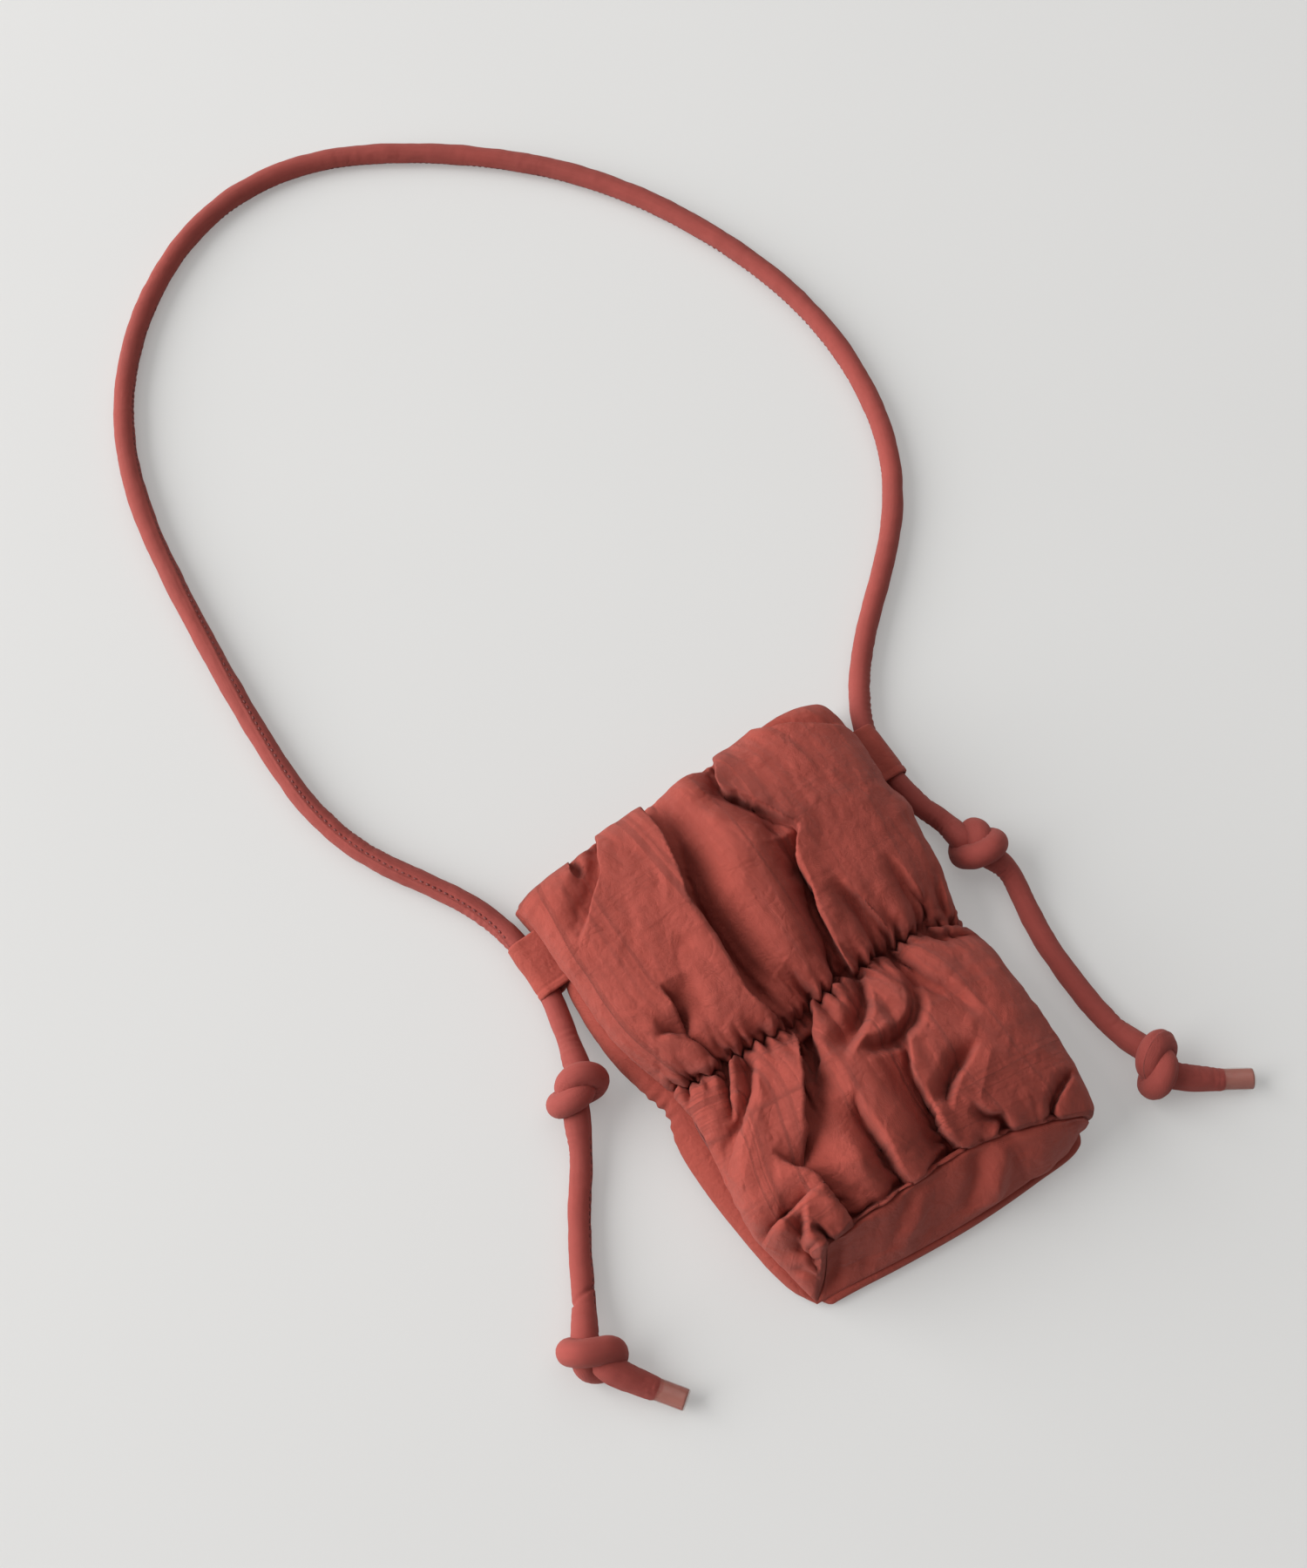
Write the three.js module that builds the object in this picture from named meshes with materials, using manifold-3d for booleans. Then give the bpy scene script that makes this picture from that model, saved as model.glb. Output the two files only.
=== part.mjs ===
// Puffy shoulder bag: a padded pouch lying on its back, gathered across the waist, with a round cord strap
// that runs through a folded tab on each side and ends in two knotted tails.
// Millimetres, +Z up, +Y towards the mouth. The origin is on the floor under the middle of the pouch.
import * as THREE from 'three';
import { mergeVertices } from 'three/addons/utils/BufferGeometryUtils.js';
import Module from 'manifold-3d';

// Driving dimensions of the pouch
const BAG_LENGTH = 215;
const MOUTH_Y = BAG_LENGTH / 2;
const BOTTOM_Y = -BAG_LENGTH / 2;
const WAIST_Y = -2;
const FRONT_SEAM_Y = -86;
const BACK_END_Y = -104;
const BACK_THICKNESS = 8;
const GUSSET_THICKNESS = 7;
const PANEL_INSET = 3;
const CEILING_AT_SEAM = 25;
const CEILING_AT_MOUTH = 17;
const SEW_GAP = 0.3;

// Half width of the pouch at stations along Y, from the bottom corners to the mouth
const WIDTH_STATIONS_Y = [BOTTOM_Y, -93, -67, -38, WAIST_Y, 40, MOUTH_Y];
const HALF_WIDTHS = [54, 63, 70.5, 73.5, 70.5, 75, 75.5];

// Crown height of the front along its middle: bottom seam, lower puff, waist, upper puff, mouth
const CROWN_STATIONS_Y = [FRONT_SEAM_Y, -54, -22, WAIST_Y, 20, 62, 95, MOUTH_Y];
const CROWN_HEIGHTS = [37, 44, 40, 28, 36, 40, 32, 25];
const FRONT_EDGE_HEIGHT = 6;
const CROWN_POWER = 3;

// Lining and waist elastic
const LINING_SLACK = 1.2;
const LINING_THICKNESS = 0.6;
const LINING_SETBACK = 4;
const ELASTIC_WIDTH = 8;
const ELASTIC_THICKNESS = 0.6;
const ELASTIC_INSET = 10;

// Strap, tabs, knots and tips
const CORD_DIAMETER = 9;
const CORD_RADIUS = CORD_DIAMETER / 2;
const CORD_SIDES = 10;
const LOOP_STEP = 20;
const TAIL_STEP = 14;
const TAB_X = 82.5;
const TAB_Y = 73.5;
const TAB_Z = 6.3;
const TAB_WIDTH = 25;
const TAB_BORE = CORD_RADIUS + SEW_GAP;
const TAB_CLOTH = 1.2;
const TAB_STEM_REACH = 9;
const KNOT_RADIUS = 12;
const KNOT_HEIGHT = 20;
const TIP_RADIUS = 3.9;
const TIP_LENGTH = 12;

// Shoulder loop of the strap, from the left tab round to the right tab, laid on the floor
const LOOP_ROUTE = [
  [-82.9, 88.8, 6.2], [-85, 97, 5.4], [-91, 113, 4.8], [-105.5, 135, 4.8],
  [-118.5, 158, 4.8], [-125, 185, 4.8], [-126, 213, 4.8], [-125.5, 242, 4.8], [-124, 272, 4.8],
  [-122, 302, 4.8], [-118.5, 334, 4.8], [-111, 365, 4.8], [-98, 394, 4.8], [-78, 420, 4.8],
  [-54, 441, 4.8], [-26, 456, 4.8], [3.5, 461.5, 4.8], [33, 458, 4.8], [59.5, 446.5, 4.8],
  [85, 430, 4.8], [108, 411.5, 4.8], [129.5, 389.5, 4.8], [147, 365, 4.8], [161.5, 337.5, 4.8],
  [172.5, 308.5, 4.8], [180, 279, 4.8], [182.5, 248, 4.8], [179.5, 216.5, 4.8], [170, 186.5, 4.8],
  [153, 160, 4.8], [131, 139, 4.8], [108, 119.5, 4.8], [91.5, 99.5, 5.3], [84.2, 89.6, 6.2],
];

// Each tail: route from its tab to the upper knot, between the knots, and from the lower knot to the tip
const LEFT_TAIL = {
  upper: [[-82.5, 86.2, 6.3], [-82.5, 70, 6.3], [-82.6, 56, 6.3], [-84.6, 46, 7], [-88.6, 33.6, 9]],
  upperKnot: [-92, 22, 10.4],
  lower: [[-100.8, 13.4, 9], [-108, 5, 6.2], [-114.5, -5, 4.8], [-120, -15, 4.8], [-125.5, -25, 4.8],
    [-131, -35, 4.8], [-136, -45, 6], [-139.8, -56, 9]],
  lowerKnot: [-143.5, -68, 10.4],
  end: [[-136.2, -78.3, 8.4], [-133.6, -82, 6], [-132, -84.1, 5], [-130.4, -86, 5]],
};
const RIGHT_TAIL = {
  upper: [[82.5, 86.2, 6.3], [82.5, 70, 6.3], [82.7, 57, 6.3], [87.4, 45, 7], [92.2, 33, 9]],
  upperKnot: [97.5, 21.5, 10.4],
  lower: [[96.8, 8.8, 9], [95.3, -3, 6.2], [94, -16, 4.8], [93, -29.5, 4.8], [92.5, -43, 4.8],
    [92.8, -56, 4.8], [93.5, -69, 6], [95, -81.2, 9]],
  lowerKnot: [96.5, -94, 10.4],
  end: [[105.9, -102.4, 8.4], [110, -105.2, 6], [114, -107.8, 5], [117.4, -109.9, 5]],
};

// Materials, with the colours that the photograph shows
const shellCloth = new THREE.MeshStandardMaterial({ color: 0xb0564b, roughness: 0.75, metalness: 0 });
const cordCloth = new THREE.MeshStandardMaterial({ color: 0xa84e44, roughness: 0.8, metalness: 0 });
const liningCloth = new THREE.MeshStandardMaterial({ color: 0x8c4038, roughness: 0.8, metalness: 0 });
const elasticKnit = new THREE.MeshStandardMaterial({ color: 0xd8d3cc, roughness: 0.9, metalness: 0 });
const clearSleeve = new THREE.MeshStandardMaterial({ color: 0xe0bdb4, roughness: 0.3, metalness: 0 });

const bag = new THREE.Group();

function addPiece(parent, name, geometry, material) {
  const mesh = new THREE.Mesh(geometry, material);
  mesh.name = name;
  parent.add(mesh);
  return mesh;
}

// Smooth value between stations
function profile(stations, values) {
  const curve = new THREE.CubicInterpolant(stations, values, 1, new Float32Array(1));
  return (at) => curve.evaluate(at)[0];
}

const { lerp } = THREE.MathUtils;
const halfWidth = profile(WIDTH_STATIONS_Y, HALF_WIDTHS);
const crownHeight = profile(CROWN_STATIONS_Y, CROWN_HEIGHTS);

// Slanted top of the pocket, higher at the bottom than at the mouth
function ceiling(y) {
  return lerp(CEILING_AT_SEAM, CEILING_AT_MOUTH, (y - FRONT_SEAM_Y) / (MOUTH_Y - FRONT_SEAM_Y));
}

// A soft block: a divided box whose coordinates, across -1 to 1, along and up 0 to 1, are moved by place()
function softBlock([acrossSteps, alongSteps, upSteps], place) {
  const box = new THREE.BoxGeometry(2, 1, 1, acrossSteps, alongSteps, upSteps).translate(0, 0.5, 0.5);
  box.deleteAttribute('normal');
  box.deleteAttribute('uv');
  const geometry = mergeVertices(box);
  const points = geometry.attributes.position;
  for (let i = 0; i < points.count; i += 1) {
    points.setXYZ(i, ...place(points.getX(i), points.getY(i), points.getZ(i)));
  }
  geometry.computeVertexNormals();
  return geometry;
}

// Outward roll of a padded edge, 0 at its top and bottom and 1 halfway up
function edgeRoll(up) {
  return 4 * up * (1 - up);
}

function frontPanel() {
  const edgeBulge = 2.5;
  return softBlock([12, 20, 2], (across, along, up) => {
    const y = lerp(FRONT_SEAM_Y, MOUTH_Y, along);
    const half = halfWidth(y) - PANEL_INSET - edgeBulge + edgeBulge * edgeRoll(up);
    const low = ceiling(y);
    const edge = low + FRONT_EDGE_HEIGHT;
    const top = lerp(edge, crownHeight(y), 1 - Math.abs(across) ** CROWN_POWER);
    return [across * half, y, lerp(low, top, up)];
  });
}

function backPanel() {
  const edgeBulge = 3;
  const cornerRise = 11;
  return softBlock([8, 16, 2], (across, along, up) => {
    const roundEnd = BACK_END_Y + cornerRise * Math.abs(across) ** CROWN_POWER;
    const y = lerp(roundEnd, MOUTH_Y - SEW_GAP, along);
    const half = halfWidth(y) - PANEL_INSET - edgeBulge + edgeBulge * edgeRoll(up);
    return [across * half, y, up * BACK_THICKNESS];
  });
}

// side is -1 on the left and 1 on the right
function gusset(side) {
  const outerBulge = 2;
  return softBlock([1, 16, 2], (across, along, up) => {
    const y = lerp(FRONT_SEAM_Y, MOUTH_Y - LINING_SETBACK, along);
    const inner = halfWidth(y) - GUSSET_THICKNESS;
    const outer = halfWidth(y) - outerBulge + outerBulge * edgeRoll(up);
    const z = lerp(BACK_THICKNESS + SEW_GAP, ceiling(y) - SEW_GAP, up);
    return [side * lerp(inner, outer, (1 + side * across) / 2), y, z];
  });
}

function bottomPanel() {
  const seamHeight = 36.5;
  const innerY = FRONT_SEAM_Y - SEW_GAP;
  const bulge = innerY - BOTTOM_Y;
  const bulgeHeight = 0.2;
  const bulgeSpan = 0.82;
  const cornerPull = 0.62;
  return softBlock([14, 1, 5], (across, along, up) => {
    const round = Math.sqrt(1 - ((up - bulgeHeight) / bulgeSpan) ** 2);
    const outerY = innerY - bulge * round * (1 - cornerPull * Math.abs(across) ** CROWN_POWER);
    const half = halfWidth(innerY) - PANEL_INSET - (1 - round) * PANEL_INSET;
    return [across * half, lerp(outerY, innerY, along), lerp(BACK_THICKNESS + SEW_GAP, seamHeight, up)];
  });
}

// Solid that fills the pocket, drawn in by an offset on its four walls and its closed end
function pocketBlock(offset, mouthEnd) {
  return softBlock([1, 12, 1], (across, along, up) => {
    const y = lerp(FRONT_SEAM_Y + offset, mouthEnd, along);
    const half = halfWidth(Math.min(y, MOUTH_Y)) - GUSSET_THICKNESS - offset;
    return [across * half, y, lerp(BACK_THICKNESS + offset, ceiling(y) - offset, up)];
  });
}

const wasm = await Module();
wasm.setup();

function toSolid(geometry) {
  const vertProperties = new Float32Array(geometry.attributes.position.array);
  const triVerts = new Uint32Array(geometry.index.array);
  return new wasm.Manifold(new wasm.Mesh({ numProp: 3, vertProperties, triVerts }));
}

function toGeometry(solid) {
  const { vertProperties, triVerts } = solid.getMesh();
  const geometry = new THREE.BufferGeometry();
  geometry.setAttribute('position', new THREE.BufferAttribute(vertProperties, 3));
  geometry.setIndex(new THREE.BufferAttribute(triVerts, 1));
  geometry.computeVertexNormals();
  return geometry;
}

function liningPouch() {
  const pastMouth = MOUTH_Y + LINING_SETBACK;
  const outside = toSolid(pocketBlock(LINING_SLACK, MOUTH_Y - LINING_SETBACK));
  const inside = toSolid(pocketBlock(LINING_SLACK + LINING_THICKNESS, pastMouth));
  return toGeometry(outside.subtract(inside));
}

function waistElastic() {
  const length = 2 * (halfWidth(WAIST_Y) - GUSSET_THICKNESS - LINING_SLACK - ELASTIC_INSET);
  return new THREE.BoxGeometry(length, ELASTIC_WIDTH, ELASTIC_THICKNESS);
}

// Tape folded round the strap, in section a ring with a stem, and as long as the tape is wide
function strapTab() {
  const ring = TAB_BORE + TAB_CLOTH;
  const stemAngle = Math.asin(TAB_CLOTH / ring);
  const section = new THREE.Shape();
  section.moveTo(TAB_STEM_REACH, -TAB_CLOTH);
  section.lineTo(TAB_STEM_REACH, TAB_CLOTH);
  section.absarc(0, 0, ring, stemAngle, 2 * Math.PI - stemAngle, false);
  section.holes.push(new THREE.Path().absarc(0, 0, TAB_BORE, 0, 2 * Math.PI, false));
  const settings = { depth: TAB_WIDTH, bevelEnabled: false, curveSegments: 12 };
  const tab = new THREE.ExtrudeGeometry(section, settings);
  return tab.translate(0, 0, -TAB_WIDTH / 2).rotateX(-Math.PI / 2);
}

function cordPath(route) {
  return new THREE.CatmullRomCurve3(route.map((point) => new THREE.Vector3(...point)));
}

function cordTube(route, step) {
  const path = cordPath(route);
  const section = new THREE.Shape();
  for (let i = 0; i < CORD_SIDES; i += 1) {
    const angle = (2 * Math.PI * i) / CORD_SIDES;
    const corner = [CORD_RADIUS * Math.cos(angle), CORD_RADIUS * Math.sin(angle)];
    section[i === 0 ? 'moveTo' : 'lineTo'](...corner);
  }
  section.closePath();
  const steps = Math.max(2, Math.round(path.getLength() / step));
  return new THREE.ExtrudeGeometry(section, { steps, extrudePath: path, bevelEnabled: false });
}

// Outer shape of an overhand knot: a flattened ball
function knotBall() {
  const rings = 8;
  const segments = 16;
  const outline = [];
  for (let i = 0; i <= rings; i += 1) {
    const angle = Math.PI * (i / rings - 0.5);
    const radius = i === 0 || i === rings ? 0 : KNOT_RADIUS * Math.cos(angle);
    outline.push(new THREE.Vector2(radius, (KNOT_HEIGHT / 2) * Math.sin(angle)));
  }
  return new THREE.LatheGeometry(outline, segments).rotateX(Math.PI / 2);
}

// Shrink sleeve on the cord's end: a short rod with a rounded nose, turned about its own length
function cordTip() {
  const noseSteps = 4;
  const segments = 12;
  const outline = [new THREE.Vector2(0, 0), new THREE.Vector2(TIP_RADIUS, 0)];
  for (let i = 0; i <= noseSteps; i += 1) {
    const angle = (Math.PI / 2) * (i / noseSteps);
    const radius = i === noseSteps ? 0 : TIP_RADIUS * Math.cos(angle);
    outline.push(new THREE.Vector2(radius, TIP_LENGTH - TIP_RADIUS * (1 - Math.sin(angle))));
  }
  return new THREE.LatheGeometry(outline, segments);
}

function addPouch() {
  addPiece(bag, 'front_panel', frontPanel(), shellCloth);
  addPiece(bag, 'back_panel', backPanel(), shellCloth);
  addPiece(bag, 'left_gusset', gusset(-1), shellCloth);
  addPiece(bag, 'right_gusset', gusset(1), shellCloth);
  addPiece(bag, 'bottom_panel', bottomPanel(), shellCloth);
  addPiece(bag, 'lining', liningPouch(), liningCloth);
  const frontElastic = addPiece(bag, 'front_waist_elastic', waistElastic(), elasticKnit);
  frontElastic.position.set(0, WAIST_Y, ceiling(WAIST_Y) - LINING_SLACK / 2);
  frontElastic.rotation.x = Math.atan((CEILING_AT_MOUTH - CEILING_AT_SEAM) / (MOUTH_Y - FRONT_SEAM_Y));
  const backElastic = addPiece(bag, 'back_waist_elastic', waistElastic(), elasticKnit);
  backElastic.position.set(0, WAIST_Y, BACK_THICKNESS + LINING_SLACK / 2);
}

function addTabs() {
  const leftTab = addPiece(bag, 'left_strap_tab', strapTab(), shellCloth);
  leftTab.position.set(-TAB_X, TAB_Y, TAB_Z);
  const rightTab = addPiece(bag, 'right_strap_tab', strapTab(), shellCloth);
  rightTab.position.set(TAB_X, TAB_Y, TAB_Z);
  rightTab.rotation.y = Math.PI;
}

function addTail(side, tail) {
  addPiece(bag, `${side}_tail_upper`, cordTube(tail.upper, TAIL_STEP), cordCloth);
  addPiece(bag, `${side}_tail_lower`, cordTube(tail.lower, TAIL_STEP), cordCloth);
  addPiece(bag, `${side}_tail_end`, cordTube(tail.end, TAIL_STEP), cordCloth);
  addPiece(bag, `${side}_upper_knot`, knotBall(), cordCloth).position.set(...tail.upperKnot);
  addPiece(bag, `${side}_lower_knot`, knotBall(), cordCloth).position.set(...tail.lowerKnot);
  const tip = addPiece(bag, `${side}_cord_tip`, cordTip(), clearSleeve);
  const path = cordPath(tail.end);
  const direction = path.getTangent(1);
  tip.position.copy(path.getPoint(1)).addScaledVector(direction, SEW_GAP);
  tip.quaternion.setFromUnitVectors(new THREE.Vector3(0, 1, 0), direction);
}

addPouch();
addTabs();
addPiece(bag, 'strap_loop', cordTube(LOOP_ROUTE, LOOP_STEP), cordCloth);
addTail('left', LEFT_TAIL);
addTail('right', RIGHT_TAIL);

export default bag;
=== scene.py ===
import math

import bpy
import numpy as np
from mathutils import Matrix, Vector


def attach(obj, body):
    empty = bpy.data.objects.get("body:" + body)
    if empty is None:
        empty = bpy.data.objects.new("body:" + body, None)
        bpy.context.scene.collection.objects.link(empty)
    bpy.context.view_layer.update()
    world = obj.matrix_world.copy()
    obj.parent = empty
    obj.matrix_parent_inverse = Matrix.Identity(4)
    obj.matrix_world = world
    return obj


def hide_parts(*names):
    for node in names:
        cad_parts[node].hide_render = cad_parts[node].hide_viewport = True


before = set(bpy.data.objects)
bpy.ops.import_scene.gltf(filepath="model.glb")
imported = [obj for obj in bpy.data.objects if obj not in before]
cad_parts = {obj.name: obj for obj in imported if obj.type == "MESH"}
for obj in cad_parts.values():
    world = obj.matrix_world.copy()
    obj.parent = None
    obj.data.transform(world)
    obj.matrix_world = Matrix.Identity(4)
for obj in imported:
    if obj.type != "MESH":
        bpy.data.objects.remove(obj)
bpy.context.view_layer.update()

# Puffy shoulder bag lying on its back: padded cloth pouch gathered at the waist, round cord strap
# through two side tabs, two knotted tails with clear sleeves on their ends.
# The part's own frame: +X to the bag's right, +Y towards the mouth, +Z up. Lengths in millimetres
# unless a name ends in _M or a comment says so; meshes are made in metres.
M = 0.001
SEED = 11

# Camera at the photograph's viewing angle
VIEW_AZIMUTH = math.radians(-33.2)
VIEW_ELEVATION = math.radians(70.0)
VIEW_DISTANCE_M = 0.828
VIEW_AIM_M = (0.0, 0.1155, 0.0)
LENS = 46.0
SENSOR = 36.0

# Strap: rings of its cover, then its stitches; STITCH_OFF is their angle past the edge of the lap
CORD_DIAMETER = 9.0
CORD_RADIUS = CORD_DIAMETER / 2
CORD_SIDES = 32
CORD_RING_STEP = 0.85
STITCH_PITCH = 2.8
STITCH_LENGTH = 1.9
STITCH_RADIUS = 0.3
STITCH_OFF = 0.3

# Cord routes in metres, as in the part's source
LOOP_ROUTE_M = [
    (-0.0829, 0.0888, 0.0062), (-0.085, 0.097, 0.0054), (-0.091, 0.113, 0.0048),
    (-0.1055, 0.135, 0.0048), (-0.1185, 0.158, 0.0048), (-0.125, 0.185, 0.0048),
    (-0.126, 0.213, 0.0048), (-0.1255, 0.242, 0.0048), (-0.124, 0.272, 0.0048),
    (-0.122, 0.302, 0.0048), (-0.1185, 0.334, 0.0048), (-0.111, 0.365, 0.0048),
    (-0.098, 0.394, 0.0048), (-0.078, 0.42, 0.0048), (-0.054, 0.441, 0.0048),
    (-0.026, 0.456, 0.0048), (0.0035, 0.4615, 0.0048), (0.033, 0.458, 0.0048),
    (0.0595, 0.4465, 0.0048), (0.085, 0.43, 0.0048), (0.108, 0.4115, 0.0048),
    (0.1295, 0.3895, 0.0048), (0.147, 0.365, 0.0048), (0.1615, 0.3375, 0.0048),
    (0.1725, 0.3085, 0.0048), (0.18, 0.279, 0.0048), (0.1825, 0.248, 0.0048),
    (0.1795, 0.2165, 0.0048), (0.17, 0.1865, 0.0048), (0.153, 0.16, 0.0048),
    (0.131, 0.139, 0.0048), (0.108, 0.1195, 0.0048), (0.0915, 0.0995, 0.0053),
    (0.0842, 0.0896, 0.0062),
]
TAILS = {
    "left": {
        "upper_M": [(-0.0825, 0.0762, 0.0063), (-0.0827, 0.069, 0.0063), (-0.0845, 0.057, 0.0063),
                    (-0.0874, 0.0432, 0.0068)],
        "lower_M": [(-0.1078, 0.0014, 0.006), (-0.1136, -0.007, 0.0048), (-0.12, -0.0162, 0.0048),
                    (-0.1255, -0.025, 0.0048), (-0.131, -0.035, 0.0048), (-0.136, -0.045, 0.006)],
        "end_M": (-0.1304, -0.086, 0.005),
        "end_way": (3.0, -4.0, 0.0),
        "rolls": (1.25 * math.pi, 0.0),
        "join_M": (-0.1354, -0.0433),
        "exit_M": (-0.0838, 0.061, 0.0063),
    },
    "right": {
        "upper_M": [(0.0825, 0.0762, 0.0063), (0.0825, 0.07, 0.0063), (0.0832, 0.0565, 0.0063),
                    (0.0852, 0.044, 0.0065), (0.0886, 0.0362, 0.0068)],
        "lower_M": [(0.0988, 0.004, 0.0062), (0.0948, -0.016, 0.0048), (0.093, -0.0295, 0.0048),
                    (0.0925, -0.043, 0.0048), (0.0928, -0.056, 0.0048), (0.0935, -0.069, 0.006)],
        "end_M": (0.1174, -0.1099, 0.005),
        "end_way": (3.4, -2.1, 0.0),
        "rolls": (0.5 * math.pi, 1.25 * math.pi),
        "exit_M": (0.0825, 0.061, 0.0063),
    },
}

# Pouch: grids of its panels, with the size of a fine cell
COLS = 288
WALL_COLS = 44
LOWER_ROWS = 140
UPPER_ROWS = 168
GUSSET_COLS = 12
CELL = 0.5
SPLINE_STEPS = 40

# Seams and edges
LEFT_CORNER = (-63.2, -93.4, 3.5)
RIGHT_CORNER = (58.0, -92.5, 4.0)
LEFT_WAIST = (-65.0, 2.0, 12.5)
RIGHT_WAIST = (64.5, -6.0, 12.5)
LEFT_SEAM_LOWER = [LEFT_CORNER, (-65.6, -80.0, 8.0), (-67.2, -60.0, 10.5), (-65.0, -38.0, 12.0),
                   (-62.8, -18.0, 12.8), LEFT_WAIST]
LEFT_SEAM_UPPER = [LEFT_WAIST, (-68.0, 17.0, 13.0), (-71.0, 37.0, 13.5), (-72.3, 61.0, 13.5),
                   (-72.6, 82.0, 12.5), (-74.5, 97.0, 11.0)]
RIGHT_SEAM_LOWER = [RIGHT_CORNER, (62.0, -81.0, 8.5), (64.5, -62.0, 10.5), (66.0, -40.0, 11.0),
                    (67.0, -18.0, 11.5), RIGHT_WAIST]
RIGHT_SEAM_UPPER = [RIGHT_WAIST, (68.5, 20.0, 13.0), (71.5, 45.0, 13.5), (72.5, 70.0, 13.5),
                    (72.5, 92.0, 12.5), (72.0, 101.5, 12.0)]
BACK_SEAM_LEFT = [LEFT_CORNER, (-67.0, -83.0, 1.6), (-69.0, -69.0, 1.5), (-69.5, -46.0, 1.5),
                  (-69.5, -24.0, 1.5), (-67.5, 0.0, 2.0), (-71.0, 12.0, 1.6), (-74.0, 28.0, 1.5),
                  (-75.0, 46.0, 1.5), (-74.5, 64.0, 1.5), (-74.5, 82.0, 1.5), (-76.0, 97.5, 2.0)]
BACK_SEAM_RIGHT = [RIGHT_CORNER, (63.5, -84.0, 1.6), (66.0, -66.0, 1.5), (66.5, -44.0, 1.5),
                   (65.5, -22.0, 1.5), (64.0, -6.0, 2.0), (68.0, 10.0, 1.6), (71.0, 28.0, 1.5),
                   (72.5, 48.0, 1.5), (73.0, 64.0, 1.5), (73.0, 84.0, 1.5), (73.0, 101.5, 2.0)]
# Side lines that the gussets stand out to: place along the bag, place across it
LEFT_SIDE = [(-93.4, -63.2), (-84.0, -68.0), (-70.0, -71.5), (-50.0, -74.0), (-30.0, -75.0),
             (-14.0, -74.5), (-2.0, -71.5), (8.0, -74.0), (25.0, -77.5), (45.0, -78.5), (58.0, -77.5),
             (66.0, -75.8), (82.0, -76.0), (98.0, -78.0)]
RIGHT_SIDE = [(-92.5, 58.0), (-82.0, 65.0), (-66.0, 68.5), (-44.0, 70.5), (-20.0, 71.0), (-6.0, 68.5),
              (10.0, 72.0), (28.0, 75.0), (48.0, 76.5), (70.0, 76.5), (102.0, 75.5)]
FRONT_BOTTOM_SEAM = [(-53.7, -79.8, 33.0), (-40.0, -79.2, 35.0), (-25.0, -79.0, 36.0), (-6.0, -79.0, 36.5),
                     (12.0, -79.6, 36.5), (29.0, -83.2, 35.5), (43.0, -87.4, 33.0), (52.0, -91.0, 30.5),
                     (58.5, -93.3, 27.0)]
LEFT_CORNER_SEAM = [LEFT_CORNER, (-58.4, -88.3, 12.0), (-55.2, -83.2, 23.0), (-53.7, -79.8, 33.0)]
RIGHT_CORNER_SEAM = [(58.5, -93.3, 27.0), (60.5, -94.8, 20.0), (60.0, -94.3, 11.0), RIGHT_CORNER]
BACK_BOTTOM_SEAM = [LEFT_CORNER, (-47.0, -95.0, 6.0), (-26.0, -97.6, 7.5), (3.0, -100.0, 8.0),
                    (31.0, -100.0, 7.5), (50.0, -98.6, 6.5), RIGHT_CORNER]
WAIST_LINE = [(-65.0, 2.0), (-52.0, -2.0), (-37.0, -2.0), (-18.0, -3.5), (5.0, -0.5), (27.0, 0.5),
              (49.0, -0.5), (64.5, -6.0)]
MOUTH_LINE = [(-74.5, 97.0), (-66.0, 98.2), (-50.0, 99.5), (-36.0, 101.5), (-15.0, 102.5), (2.0, 103.5),
              (22.0, 103.5), (42.0, 105.0), (60.0, 104.5), (72.0, 101.5)]
BACK_MOUTH = [(-40.0, 99.5, 0.6), (0.0, 102.5, 0.6), (40.0, 104.0, 0.6)]
# Height of the front along the bag
LOWER_CROWN = [(-84.0, 36.5), (-78.0, 38.0), (-70.0, 40.0), (-56.0, 42.5), (-38.0, 42.0), (-22.0, 39.5),
               (-12.0, 36.0), (-6.0, 33.0), (-2.0, 30.5)]
UPPER_CROWN = [(-2.0, 30.5), (1.0, 34.0), (4.5, 37.0), (9.0, 38.8), (16.0, 39.6), (40.0, 41.0),
               (62.0, 40.5), (80.0, 38.0), (95.0, 33.0), (101.0, 29.0), (105.0, 25.5)]
# Squareness of the front's sections and how far its left and right sides bulge past the seams
ARCH_POINTS = 241
WAIST_SQUARE = 2.4
CROWN_SQUARE = 2.9
SIDE_BULGE = (3.6, 2.6)
BULGE_ROUND = 0.8
# Shares of each half's length: start and stretch of a change, or its stretch alone
LOWER_SQUARING = (0.55, 0.45)
LOWER_BULGING = (0.9, 0.45)
LOWER_HEM_BLEND = 0.45
LOWER_WAIST_PULL = (0.4, 0.6)
UPPER_SPREADING = 0.3
UPPER_SLIMMING = 0.3
UPPER_WAIST_PULL = 0.6
# Bottom seam: how far it is drawn in, its groove, where it fades at the two corners, which way it sinks
SEAM_INSET = 1.5
SEAM_DEPTH = 2.6
SEAM_ROWS = 12
SEAM_WIDTH = 1.3
SEAM_FADE = (0.05, 0.3)
SEAM_INWARD = (0.0, 26.0, -40.0)
SEWN_INWARD = (0.0, 40.0, -20.0)
# Back: height off the floor, roll up to the bottom seam, slack drawn into the roll and its reach, bulge
# of the roll, margin of the flat part, place of its waist, rise and pleats there (height, reach)
BACK_FLOOR = 0.5
BACK_ROLL = 12.0
BACK_SLACK = 0.8
BACK_SLACK_REACH = 40.0
BACK_BULGE = 3.5
BACK_MARGIN = 0.06
BACK_WAIST = -2.0
BACK_RISE = (2.2, 3.0)
BACK_PLEAT = (0.7, 9.0)
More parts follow.
